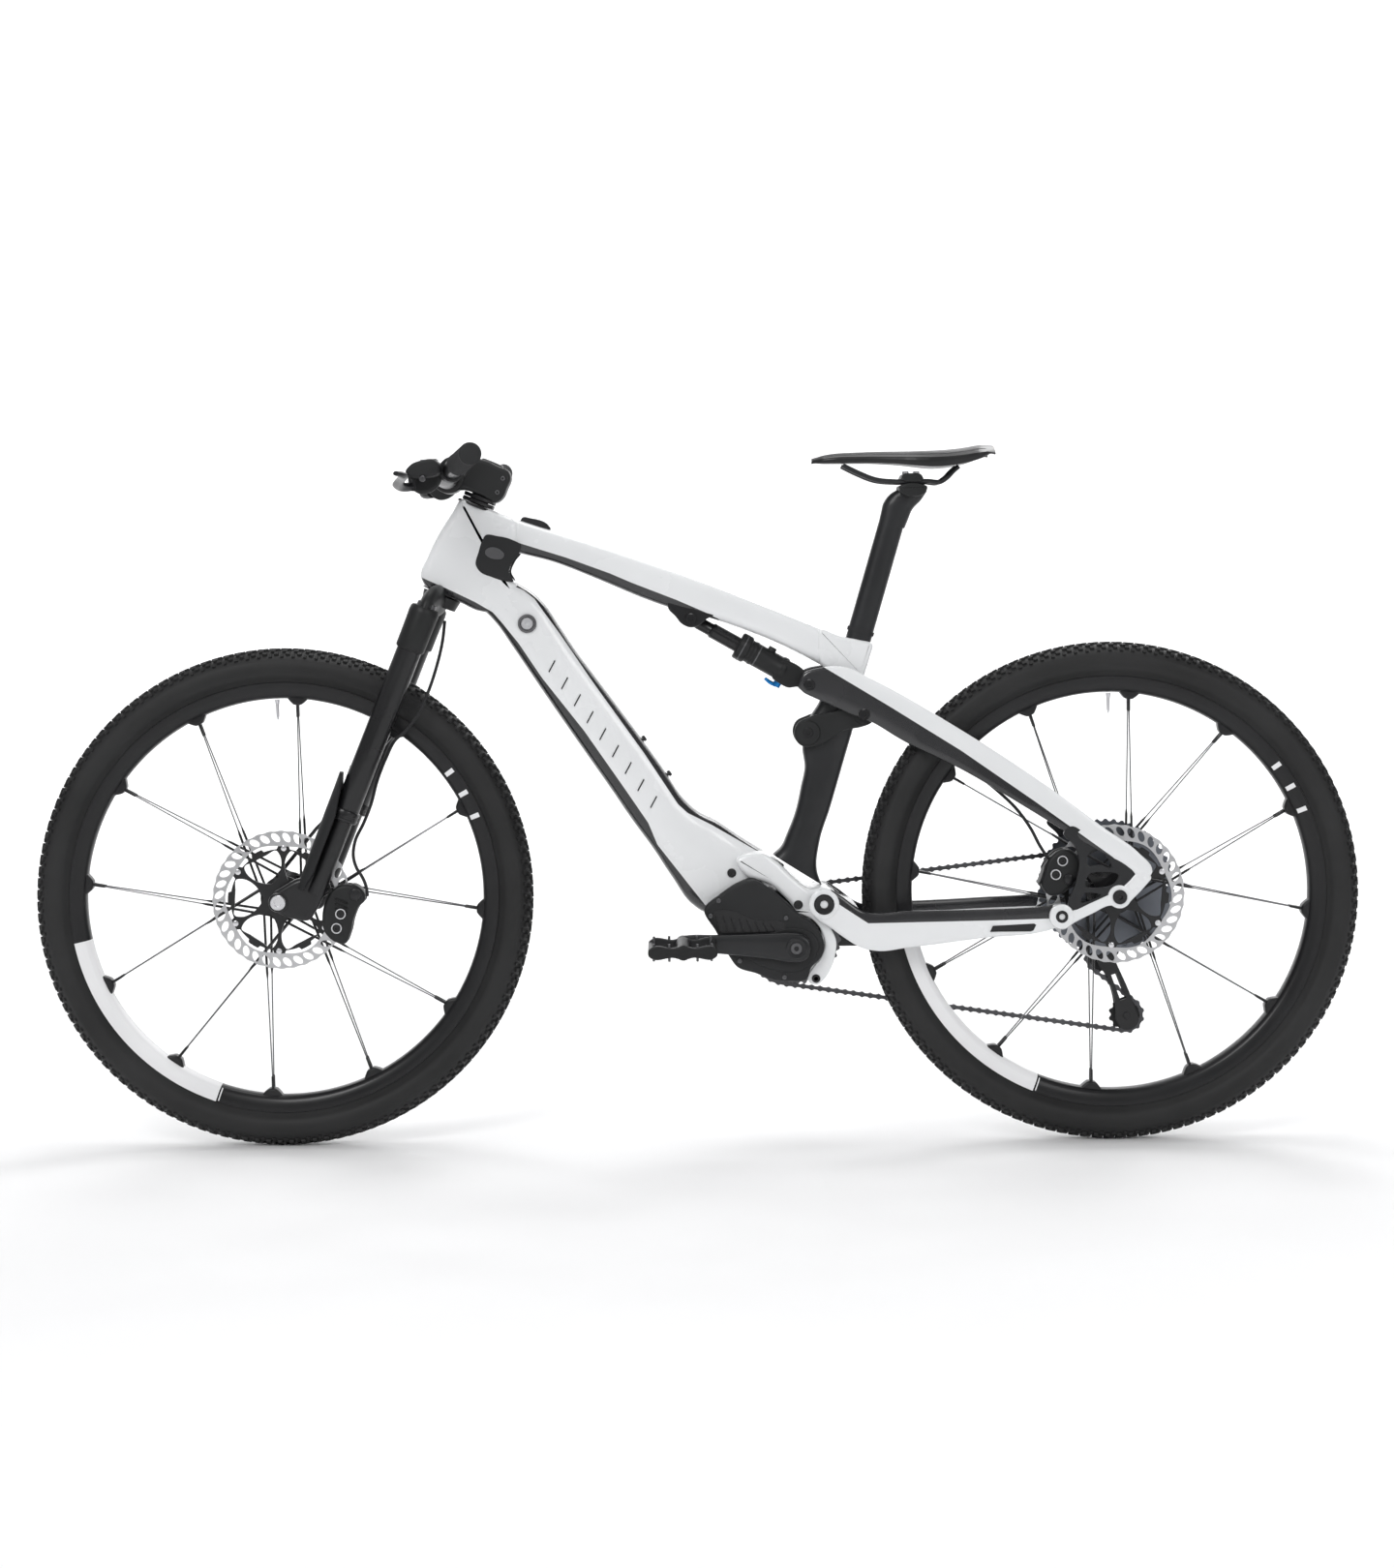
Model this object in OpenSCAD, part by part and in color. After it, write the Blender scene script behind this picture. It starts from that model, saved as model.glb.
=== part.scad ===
// Full-suspension electric mountain bike, front wheel towards -X, left side towards -Y, wheels on z = 0.
// Origin on the ground, midway between the two wheel axles.

/* [Wheels] */
// Distance between the two wheel axles
wheelbase = 1222; // [1200:1:1260]
// Outer radius of the tyres
tyre_r = 368; // [362:1:374]
// Half width of the tyre
tyre_half_w = 28; // [24:1:31]
// Radius at which the tyre bead sits on the rim
bead_r = 318; // [312:1:322]
// Inner radius of the rim
rim_r = 294; // [286:1:300]
// Number of spoke pads on each rim
pads = 12; // [8:2:16]
// Radius of the thin part of a spoke
spoke_r = 1; // [0.8:0.1:1.6]
// Radius of the thick part of a spoke near the hub
spoke_butt_r = 1.9; // [1.5:0.1:2.4]
// Radius of the spoke holes' circle on a hub flange
flange_r = 29; // [26:1:34]
// Radius of the brake discs
disc_r = 101.5; // [90:0.5:102]
// Thickness of the brake discs
disc_t = 2; // [1.6:0.1:2.4]

/* [Fork] */
// Steering axis lean from vertical, degrees
steer_lean = 21.8; // [20:0.2:24]
// Distance from the front axle back to the steering axis
axle_offset = 54; // [50:1:60]
// Distance of the fork legs ahead of the steering axis
leg_offset = 11; // [8:1:16]
// Half the distance between the two fork legs
leg_half = 66; // [62:1:74]
// Outer radius of the upper fork tubes
upper_tube_r = 18.5; // [18:0.5:20]
// Outer radius of the sliding fork tubes
slider_r = 15; // [14:0.1:16]
// Radius of the front axle
front_axle_r = 7.5; // [6:0.5:10]

/* [Cockpit] */
// Half the width of the handlebar
bar_half = 375; // [350:5:400]
// Radius of the bar at the stem clamp
bar_clamp_r = 17.5; // [15.9:0.1:17.5]
// Radius of the bar inside the grips
bar_r = 11.1; // [11:0.1:12]
// Outer radius of the grips
grip_r = 15.5; // [14:0.5:18]
// Length of each grip
grip_len = 130; // [110:5:140]
// Radius of the fork's steerer tube
steerer_r = 14.3; // [12.7:0.1:15]

/* [Drive] */
// Teeth of the chainring
ring_teeth = 36; // [32:1:36]
// Teeth of the sprocket that the chain runs on
cog_teeth = 28; // [24:1:30]
// Chain pitch
pitch = 12.7; // [12:0.1:13]
// Crank length from spindle to pedal axle
crank_len = 165; // [155:1:175]
// Sideways place of the chain
chain_y = 53; // [52:0.5:54]
// Radius of the pedal axles
pedal_axle_r = 5; // [4:0.5:6]

/* [Seat] */
// Half depth of the oval seatpost
post_half_depth = 19; // [17:0.5:20]
// Half width of the oval seatpost
post_half_width = 15; // [13:0.5:16]
// Lean of the seatpost from vertical, degrees
post_lean = 16.4; // [15:0.2:18]
// How far the seatpost reaches into the frame
post_insert = 130; // [100:5:140]

/* [Fits] */
// Radial gap of every shaft that turns in a bore
run_gap = 0.05; // [0.02:0.01:0.1]
// Side gap between parts that move past each other
side_gap = 0.5; // [0.3:0.1:0.8]
// Half width of the frame's tubes
frame_half = 23; // [22:0.5:25]
// Radius of the suspension pivot pins
pin_r = 5; // [4:0.5:6]

/* [Hidden] */
front_axle = [-wheelbase / 2, tyre_r];
rear_axle = [wheelbase / 2, tyre_r];
main_pivot = [184, 357];
tail_pivot = [527, 340];
link_pivot = [246, 633];
rocker_pivot = [164, 606];
shock_front = [-7, 775];
shock_rear = [166, 677];
crank_axis = [142, 296];
crank_turn = 3;
steer_base = [front_axle[0] + axle_offset * cos(steer_lean), front_axle[1] - axle_offset * sin(steer_lean)];
ring_r = pitch * ring_teeth / (2 * PI);
cog_r = pitch * cog_teeth / (2 * PI);
pulley_r = pitch * 12 / (2 * PI);
guide_pulley = [608, 262];
tension_pulley = [642, 174];
chain_half = 3.4;
bar_centre = [-363, 986];
bar_bend_y = 90;
bar_end = [-305, 1006];
post_axis_x = 240;
post_axis_z = 738;
front_disc_y = -43;
rear_disc_y = -50;
front_hub_half = 54.5;
rear_hub_half = 73.5;
flange_t = 2.6;
$fn = 48;

// An outline in the x-z plane made solid between two y values
module slab(points, y0, y1) {
    translate([0, y1, 0]) rotate([90, 0, 0]) linear_extrude(y1 - y0) polygon(points);
}

// The same outline on both sides of the bike
module slab_pair(points, y0, y1) {
    slab(points, y0, y1);
    slab(points, -y1, -y0);
}

// A round bar across the bike
module cross_bar(p, r, y0, y1) {
    translate([p[0], y1, p[1]]) rotate([90, 0, 0]) cylinder(r = r, h = y1 - y0);
}

// A plan outline (x-y) made solid between two heights
module plan(points, z0, z1) {
    translate([0, 0, z0]) linear_extrude(z1 - z0) polygon(points);
}

// A round bar between two points
module rod(a, b, r) {
    d = b - a;
    len = norm(d);
    translate(a) rotate([0, acos(d[2] / len), atan2(d[1], d[0])]) cylinder(r = r, h = len);
}

// Local frame of the fork: z along the steering axis, x square to it towards the rear
module fork_frame() {
    translate([steer_base[0], 0, steer_base[1]]) rotate([0, steer_lean, 0]) children();
}

// Oval section of the seatpost, with an optional gap all round
module post_section(gap) {
    web = post_half_depth - post_half_width;
    for (s = [-1, 1]) translate([s * web, 0]) circle(r = post_half_width + gap);
    square([2 * web, 2 * (post_half_width + gap)], center = true);
}

// The seatpost's axis, pointing up
module post_frame() {
    translate([post_axis_x, 0, post_axis_z]) rotate([0, post_lean, 0]) children();
}

// ---------- front frame ----------

module head_tube() {
    outline = [[-345, 954], [-288, 932], [-262, 923], [-261, 878], [-272, 862], [-278, 843], [-274, 834],
        [-253, 823], [-305, 782], [-346, 802], [-404, 832], [-406, 840], [-394, 871], [-376, 907], [-357, 933]];
    color("whitesmoke") difference() {
        intersection() {
            slab(outline, -30, 30);
            plan([[-410, -12], [-392, -30], [-250, -30], [-250, 30], [-392, 30], [-410, 12]], 700, 1000);
            fork_frame() translate([-60, -40, 507]) cube([400, 80, 137]);
        }
        fork_frame() translate([0, 0, 400]) cylinder(r = 24, h = 300);
        slab([[-303, 880], [-288, 876], [-290, 864], [-305, 868]], -31, -28);
    }
}

module top_tube() {
    outline = [[-262, 923], [-219, 910], [-126, 880], [-44, 851], [4, 833], [60, 811], [90, 799],
        [166, 768], [190, 757], [190, 703], [151, 723], [114, 741], [80, 756], [28, 777], [6, 766],
        [-7, 763], [-20, 766], [-29, 779], [-78, 804], [-127, 832], [-160, 849], [-209, 866], [-261, 878]];
    color("whitesmoke") difference() {
        slab(outline, -frame_half, frame_half);
        translate([-34, -12.5 - side_gap, 740]) cube([70, 25 + 2 * side_gap, 50]);
        slab([[12, 740], [12, 791], [30, 788], [130, 744], [130, 700], [60, 700]], -21, 21);
        cross_bar(shock_front, pin_r, -frame_half - 1, frame_half + 1);
    }
}

battery_core = [[-227, 676], [-194, 699], [-70, 521], [-103, 498], [-165, 588]];

module down_tube() {
    outline = [[-253, 823], [-234, 811], [-220, 795], [-203, 768], [-176, 723], [-148, 689], [-84, 600],
        [-48, 550], [-19, 505], [2, 488], [29, 475], [51, 460], [103, 427], [118, 413], [100, 387],
        [78, 396], [54, 388], [30, 373], [8, 352], [-2, 353], [-72, 452], [-103, 498], [-165, 588],
        [-227, 676], [-268, 736], [-290, 771], [-305, 782]];
    color("whitesmoke") difference() {
        slab(outline, -32, 32);
        slab(battery_core, -24, 24);
        bottle_bolt_places() cylinder(r = 2.5, h = 40, center = true);
        cross_bar([-248, 770], 9 + run_gap, -33, -18);
    }
}

// Two places on the down tube's upper face, 64 apart, square to that face
module bottle_bolt_places() {
    for (p = [[-80, 596], [-43, 544]]) translate([p[0], 0, p[1]]) rotate([0, 54.6, 0]) children();
}

module seat_tube() {
    outline = [[122, 434], [133, 455], [145, 485], [155, 528], [161, 548], [157, 583], [165, 621],
        [182, 649], [198, 693], [248, 687], [244, 660], [232, 609], [217, 559], [197, 492], [183, 448],
        [177, 397], [166, 379], [118, 413]];
    color([0.13, 0.13, 0.14]) difference() {
        slab(outline, -20, 20);
        post_frame() translate([0, 0, -240]) linear_extrude(300) post_section(0.3);
        cross_bar(rocker_pivot, pin_r, -21, 21);
    }
}

module seat_collar() {
    outline = [[190, 757], [217, 745], [222, 747], [260, 736], [252, 705], [248, 687], [198, 693], [190, 703]];
    color("white") difference() {
        slab(outline, -frame_half, frame_half);
        post_frame() translate([0, 0, -240]) linear_extrude(300) post_section(run_gap);
    }
}

module motor_bay() {
    web = [[118, 413], [166, 379], [184, 375], [184, 339], [168, 342], [142, 344], [129, 362], [100, 387]];
    hook = [[142, 344], [168, 342], [184, 328], [196, 314], [201, 300], [200, 286], [193, 268], [183, 254],
        [182, 244], [172, 236], [162, 242], [160, 250], [168, 264], [180, 279], [184, 296], [181, 314],
        [168, 331]];
    color("whitesmoke") difference() {
        union() {
            slab(web, -46, 34);
            slab(hook, -49.5, -44.5);
            slab(hook, 34, 42);
            slab([[142, 344], [168, 331], [168, 342]], -49.5, 42);
            cross_bar(main_pivot, 18, -46, 34);
        }
        cross_bar(main_pivot, 8, -60, 60);
        cross_bar([172, 247], 4, -60, 60);
    }
}

module motor_unit() {
    casing = [[12, 350], [55, 385], [98, 382], [127, 358], [140, 342], [164, 329], [176, 312], [180, 296],
        [176, 280], [160, 262], [156, 248], [113, 248], [56, 269], [45, 283]];
    color([0.12, 0.12, 0.13]) difference() {
        union() {
            slab(casing, -44, 44);
            cross_bar(crank_axis, 24, 44, 48);
            cross_bar([70, 350], 10, -50, -44);
            cross_bar([80, 275], 10, -50, -44);
        }
        cross_bar(crank_axis, 12 + run_gap, -60, 60);
        for (i = [0:5]) translate([26 + 14 * i, -45, 322]) rotate([0, 20, 0]) cube([4, 4, 22]);
    }
}

module motor_cover() {
    outline = [[8, 352], [30, 373], [54, 388], [80, 395], [102, 384], [129, 362], [142, 344], [168, 331],
        [181, 314], [184, 296], [180, 279], [163, 262], [160, 246], [113, 245], [55, 267], [45, 281]];
    window = [[24, 344], [86, 332], [120, 327], [118, 318], [34, 318]];
    color([0.17, 0.17, 0.18]) difference() {
        slab(outline, -66, -50);
        slab(window, -67, -49);
        cross_bar(crank_axis, 15, -67, -49);
    }
}

module battery_pack() {
    skid = [[-290, 771], [-268, 736], [-227, 676], [-165, 588], [-103, 498], [-72, 452], [-2, 353],
        [8, 352], [45, 281], [40, 284], [-8, 341], [-38, 394], [-95, 474], [-166, 577], [-228, 666],
        [-268, 722], [-277, 738], [-297, 768], [-314, 782], [-305, 782]];
    color([0.15, 0.15, 0.16]) {
        slab(battery_core, -24, 24);
        slab(skid, -28, 28);
    }
}

module headset_bearings() {
    color("dimgray") fork_frame() {
        for (z = [508, 632]) translate([0, 0, z]) difference() {
            cylinder(r = 24, h = 12);
            translate([0, 0, -1]) cylinder(r = (z < 600 ? 19 : steerer_r) + run_gap, h = 14);
        }
        translate([0, 0, 502]) difference() {
            cylinder(r = 32, h = 5);
            translate([0, 0, -1]) cylinder(r = 19 + run_gap, h = 7);
        }
    }
}

module display_unit() {
    color([0.1, 0.1, 0.11]) slab([[-258, 921.8], [-253, 929], [-240, 928], [-214, 914], [-213, 908.1],
        [-219, 910]], -14, 14);
}

// Cover of the charging socket, with the pin it turns on along its lower edge
module charge_port_flap() {
    color([0.2, 0.2, 0.22]) {
        slab([[-302.3, 878.9], [-289, 875.3], [-290.7, 865.4], [-303.6, 868.6]], -30.5, -28.5);
        rod([-302, -30, 867.965], [-292, -30, 865.635], 0.6);
    }
}

module frame_lock() {
    color("silver") cross_bar([-248, 770], 9, -33, -18.5);
}

module frame_bolts() {
    color([0.08, 0.08, 0.09]) {
        cross_bar(main_pivot, 8, -58, 46);
        cross_bar(rocker_pivot, pin_r, -31.8, 31.8);
        cross_bar(shock_front, pin_r, -frame_half, frame_half);
        for (s = [-1, 1]) cross_bar(shock_front, 9, s > 0 ? frame_half : -frame_half - 3,
            s > 0 ? frame_half + 3 : -frame_half);
        cross_bar([50, 401], 6.5, -34.5, -32);
        cross_bar([147, 355], 6.5, -48.5, -46);
        cross_bar([172, 247], 4, -49.5, 44);
        cross_bar([172, 247], 6.5, -52, -49.5);
    }
}

module bottle_bolts() {
    color([0.08, 0.08, 0.09]) bottle_bolt_places() {
        translate([0, 0, -14]) cylinder(r = 2.5, h = 16);
        translate([0, 0, 1]) cylinder(r = 4.5, h = 5);
    }
}

// ---------- steering ----------

module fork_crown() {
    color([0.07, 0.07, 0.08]) fork_frame() difference() {
        union() {
            translate([0, 0, 482]) cylinder(r1 = 31, r2 = 29, h = 17);
            translate([0, 0, 482]) cylinder(r = 19, h = 36);
            translate([0, 0, 482]) cylinder(r = steerer_r, h = 222);
            translate([-leg_offset - 8, -leg_half, 482]) cube([30, 2 * leg_half, 12]);
            for (s = [-1, 1]) translate([-leg_offset, s * leg_half, 411]) cylinder(r = 21.5, h = 83);
        }
        for (s = [-1, 1]) translate([-leg_offset, s * leg_half, 400]) cylinder(r = upper_tube_r, h = 80);
        translate([0, 0, 470]) cylinder(r = 10, h = 240);
    }
}

module fork_upper_tubes() {
    color([0.08, 0.08, 0.09]) fork_frame() for (s = [-1, 1]) translate([-leg_offset, s * leg_half, 0])
        difference() {
            union() {
                translate([0, 0, 150]) cylinder(r = upper_tube_r, h = 330);
                translate([0, 0, 146]) cylinder(r = 21, h = 14);
            }
            translate([0, 0, 140]) cylinder(r = slider_r + run_gap, h = 325);
        }
}

module stem() {
    outline = [[-36, 683], [-35, 705], [-14, 710], [26, 707], [32, 701], [32, 667], [28, 658], [-24, 658],
        [-40, 650]];
    color([0.13, 0.13, 0.14]) difference() {
        union() {
            fork_frame() slab(outline, -24, 24);
            cross_bar(bar_centre, bar_clamp_r + 6, -26, 26);
        }
        cross_bar(bar_centre, bar_clamp_r, -30, 30);
        fork_frame() translate([0, 0, 640]) cylinder(r = steerer_r, h = 64);
    }
}

module steerer_spacers() {
    color([0.1, 0.1, 0.11]) fork_frame() for (z = [645, 651.5]) translate([0, 0, z]) difference() {
        cylinder(r = 25, h = 6);
        translate([0, 0, -1]) cylinder(r = steerer_r, h = 8);
    }
}

bar_dir = [bar_end[0] - bar_centre[0], bar_half - bar_bend_y, bar_end[1] - bar_centre[1]];
bar_unit = bar_dir / norm(bar_dir);
function bar_point(side, d) = [bar_centre[0] + bar_unit[0] * d, side * (bar_bend_y + bar_unit[1] * d),
    bar_centre[1] + bar_unit[2] * d];
bar_reach = norm(bar_dir);

module handlebar() {
    color([0.1, 0.1, 0.11]) {
        cross_bar(bar_centre, bar_clamp_r, -60, 60);
        for (s = [-1, 1]) {
            rod([bar_centre[0], s * 60, bar_centre[1]], bar_point(s, 0), 14);
            translate(bar_point(s, 0)) sphere(r = 14);
            rod(bar_point(s, 0), bar_point(s, bar_reach - 3), bar_r);
        }
    }
}

module grips() {
    color([0.22, 0.22, 0.23]) for (s = [-1, 1]) difference() {
        rod(bar_point(s, bar_reach - grip_len), bar_point(s, bar_reach), grip_r);
        rod(bar_point(s, bar_reach - grip_len - 1), bar_point(s, bar_reach - 3), bar_r);
    }
}

// Brake fluid housings below and ahead of the bar, each on a split clamp
module brake_masters() {
    body_outline = [[-369, 966], [-362, 1004], [-382, 1003], [-404, 996], [-408, 972], [-392, 958]];
    color([0.1, 0.1, 0.11]) for (s = [-1, 1]) difference() {
        union() {
            slab(body_outline, s > 0 ? 150 : -214, s > 0 ? 214 : -150);
            rod(bar_point(s, 72), bar_point(s, 92), bar_r + 7);
        }
        rod(bar_point(s, 40), bar_point(s, 140), bar_r);
        translate([-414, s > 0 ? 168 : -216, 955]) cube([22, 48, 24]);
        translate([-399, s * 183, 950]) cylinder(r = 1.8 + run_gap, h = 40.5);
    }
}

// One lever blade, side -1 left and 1 right, hinged at the housing's front
module lever_blade(s) {
    slab([[-420, 968], [-416, 974], [-394, 974], [-394, 963], [-402, 961], [-416, 962]],
        s > 0 ? 176 : -190, s > 0 ? 190 : -176);
    rod([-416, s * 186, 968], [-404, s * 318, 982], 5);
    translate([-399, s * 183, 961.5]) cylinder(r = 1.8, h = 28.5);
}

module brake_lever_left() {
    color([0.07, 0.07, 0.08]) lever_blade(-1);
}

module brake_lever_right() {
    color([0.07, 0.07, 0.08]) lever_blade(1);
}

// ---------- sliding part of the fork ----------

module fork_lower_legs() {
    foot = [[-67, 8], [-61, 20], [-55, 27], [-46, 42], [-14, 42], [2, 46], [2, 24], [0, 5], [-3, -10],
        [-34, -15], [-57, -14], [-67, -7]];
    color([0.1, 0.1, 0.11]) fork_frame() for (s = [-1, 1]) {
        difference() {
            union() {
                translate([-leg_offset, s * leg_half, 30]) cylinder(r = slider_r, h = 250);
                slab(foot, s > 0 ? 56 : -78, s > 0 ? 78 : -56);
            }
            cross_bar([-axle_offset, 0], front_axle_r, -90, 90);
        }
    }
}

module fork_guards() {
    color([0.09, 0.09, 0.1]) fork_frame() for (s = [-1, 1]) translate([-leg_offset, s * leg_half, 42])
        difference() {
            intersection() {
                cylinder(r = 29, h = 168);
                translate([-30, -18, 0]) cube([14, 36, 168]);
            }
            translate([0, 0, -1]) cylinder(r = 25.5, h = 180);
        }
}

module front_axle_rod() {
    color("silver") fork_frame() {
        cross_bar([-axle_offset, 0], front_axle_r, -78, 78);
        cross_bar([-axle_offset, 0], 11, -81, -78);
    }
}

module front_caliper() {
    outline = [[-549, 346], [-536, 380], [-505, 392], [-486, 372], [-499, 353], [-508, 321], [-517, 304],
        [-545, 318]];
    color([0.08, 0.08, 0.09]) difference() {
        union() {
            slab(outline, -62, -33.5);
            for (p = [[-522, 349], [-528, 328]]) cross_bar(p, 6, -64, -62);
        }
        cross_bar(front_axle, disc_r + 4, front_disc_y - 4, front_disc_y + 4);
        cross_bar(front_axle, 62, -80, 0);
    }
}

front_hose_route = [[20, -40, 468], [28, -46, 440], [34, -50, 400], [36, -52, 360], [34, -54, 325],
    [27, -55, 300], [17, -56, 280], [14, -56, 250], [14, -55, 215], [18, -54, 180], [18, -53, 150],
    [16, -52, 120], [22, -52, 98], [33, -52, 84], [44, -52, 76], [54, -52, 66], [62, -51, 52]];

// Sweep of a round section along a list of points
function unit(v) = v / norm(v);
function tangent_at(p, i) = unit(p[min(i + 1, len(p) - 1)] - p[max(i - 1, 0)]);
function ring_at(p, i, r, sides) =
    let (t = tangent_at(p, i), u = unit(cross(t, [0, 1, 0.01])), v = cross(t, u))
    [for (k = [0:sides - 1]) p[i] + r * (cos(360 * k / sides) * u + sin(360 * k / sides) * v)];
function tube_faces(n, sides) = concat(
    [[for (k = [sides - 1:-1:0]) k]],
    [for (i = [0:n - 2]) for (k = [0:sides - 1])
        [i * sides + k, i * sides + (k + 1) % sides, (i + 1) * sides + (k + 1) % sides, (i + 1) * sides + k]],
    [[for (k = [0:sides - 1]) (n - 1) * sides + k]]);

module tube_along(p, r, sides) {
    polyhedron(points = [for (i = [0:len(p) - 1]) each ring_at(p, i, r, sides)],
        faces = tube_faces(len(p), sides));
}

module front_hose() {
    color([0.05, 0.05, 0.05]) fork_frame() tube_along(front_hose_route, 2.4, 8);
}

// ---------- wheels ----------

module at_wheel(c) {
    translate([c[0], 0, c[1]]) rotate([90, 0, 0]) children();
}

module tyre(c) {
    mid = tyre_r - tyre_half_w;
    color([0.09, 0.09, 0.09]) at_wheel(c) rotate_extrude($fn = 120) difference() {
        translate([mid, 0]) circle(r = tyre_half_w);
        translate([mid, 0]) circle(r = tyre_half_w - 4);
        translate([bead_r - 40, -50]) square([40, 100]);
    }
}

module rim(c, phase) {
    w = tyre_half_w - 11;
    color([0.06, 0.06, 0.06]) at_wheel(c) {
        difference() {
            union() {
                rotate_extrude($fn = 120) polygon([[rim_r, -9], [rim_r + 7, -15], [bead_r, -w],
                    [bead_r, -w + 5], [bead_r - 7, -10], [bead_r - 7, 10], [bead_r, w - 5], [bead_r, w],
                    [rim_r + 7, 15], [rim_r, 9]]);
                for (i = [0:pads - 1]) rotate([0, 0, phase + 360 / pads * i]) translate([0, 0, -8])
                    linear_extrude(16) polygon([[rim_r + 3, -16], [rim_r - 7, -9], [rim_r - 9, -4],
                        [rim_r - 9, 4], [rim_r - 7, 9], [rim_r + 3, 16]]);
            }
            rotate([0, 0, 90 + phase / 2]) translate([rim_r - 5, 0, 0]) rotate([0, 90, 0])
                cylinder(r = 3, h = 40);
        }
        rotate([0, 0, 90 + phase / 2]) translate([rim_r - 32, 0, 0]) rotate([0, 90, 0]) cylinder(r = 3, h = 50);
    }
}

// Two spokes from each pad, one to each flange, leading and trailing in turn. Spokes that lead lie on
// one face of the flange and spokes that trail on the other, so they cross without touching.
module spokes(c, phase, left, right) {
    lead = 70;
    butt_end = 0.42;
    color([0.3, 0.3, 0.32]) at_wheel(c) for (i = [0:pads - 1], side = [-1, 1]) {
        a = phase + 360 / pads * i;
        b = a + (i % 2 == 0 ? lead : -lead);
        from_mid = (side > 0 ? left : right) + (i % 2 == 0 ? 0 : 1) * (flange_t + 2 * spoke_butt_r + 2.2);
        tip = [(rim_r - 9) * cos(a), (rim_r - 9) * sin(a), 4 * side];
        seat = [flange_r * cos(b), flange_r * sin(b), from_mid * side];
        rod(seat, seat + butt_end * (tip - seat), spoke_butt_r);
        rod(seat + (butt_end - 0.02) * (tip - seat), tip, spoke_r);
    }
}

module hub(c, axle_r, half, left, right) {
    color([0.08, 0.08, 0.09]) at_wheel(c) difference() {
        union() {
            translate([0, 0, -half]) cylinder(r = 14, h = 2 * half);
            translate([0, 0, left + spoke_butt_r + 0.3]) cylinder(r = flange_r + 4, h = flange_t);
            translate([0, 0, -right - spoke_butt_r - 0.3 - flange_t]) cylinder(r = flange_r + 4, h = flange_t);
            translate([0, 0, -right]) cylinder(r = 19, h = left + right);
        }
        translate([0, 0, -half - 5]) cylinder(r = axle_r + run_gap, h = 2 * half + 10);
    }
}

// Brake disc: slotted braking ring on a six-armed carrier
module disc(c, y, phase) {
    color("silver") translate([0, y, 0]) at_wheel(c) translate([0, 0, -disc_t / 2]) difference() {
        cylinder(r = disc_r, h = disc_t, $fn = 96);
        for (i = [0:5]) rotate([0, 0, phase + 60 * i]) translate([0, 0, -1])
            linear_extrude(disc_t + 2) polygon([[30, -9], [62, -26], [64, 0], [62, 26], [30, 9]]);
        for (i = [0:35]) rotate([0, 0, 10 * i]) translate([92, 0, 0]) rotate([0, 0, 35])
            cube([14, 3, 10], center = true);
        translate([0, 0, -1]) cylinder(r = 14, h = disc_t + 2);
    }
}

module front_tyre() { tyre(front_axle); }
module front_rim() { rim(front_axle, -4); }
module front_spokes() { spokes(front_axle, -4, 24, 30); }
module front_hub() { hub(front_axle, front_axle_r, front_hub_half, 24, 30); }
module front_disc() { disc(front_axle, front_disc_y, 27); }
module rear_tyre() { tyre(rear_axle); }
module rear_rim() { rim(rear_axle, -6); }
module rear_spokes() { spokes(rear_axle, -6, 28, 20); }
module rear_hub() { hub(rear_axle, 6, rear_hub_half, 28, 20); }
module rear_disc() { disc(rear_axle, rear_disc_y, 25); }

// ---------- rear suspension ----------

module chainstay() {
    outline = [[164, 357], [170, 371], [184, 377], [198, 374], [243, 345], [304, 347], [510, 355],
        [527, 357], [544, 346], [544, 334], [527, 323], [427, 309], [255, 287], [239, 293], [201, 319],
        [170, 343]];
    left_plan = [[150, -62], [240, -62], [330, -66], [500, -80], [550, -80], [550, -70.5], [490, -70.5],
        [240, -50], [150, -50]];
    right_plan = [[150, 37], [236, 37], [490, 70.5], [550, 70.5], [550, 80], [480, 80], [320, 60],
        [238, 48], [150, 48]];
    color("whitesmoke") difference() {
        union() {
            intersection() {
                slab(outline, -100, 100);
                union() {
                    plan(left_plan, 200, 500);
                    plan(right_plan, 200, 500);
                }
            }
            slab([[206, 335], [206, 366], [236, 348], [236, 315], [222, 308]], -50, 37);
        }
        cross_bar(main_pivot, 8 + run_gap, -58.2, 46.2);
        cross_bar(tail_pivot, pin_r + run_gap, -90, 90);
    }
    color("black") {
        cross_bar(main_pivot, 15, -64, -62);
        cross_bar(main_pivot, 13, 48, 49.4);
    }
}

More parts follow.
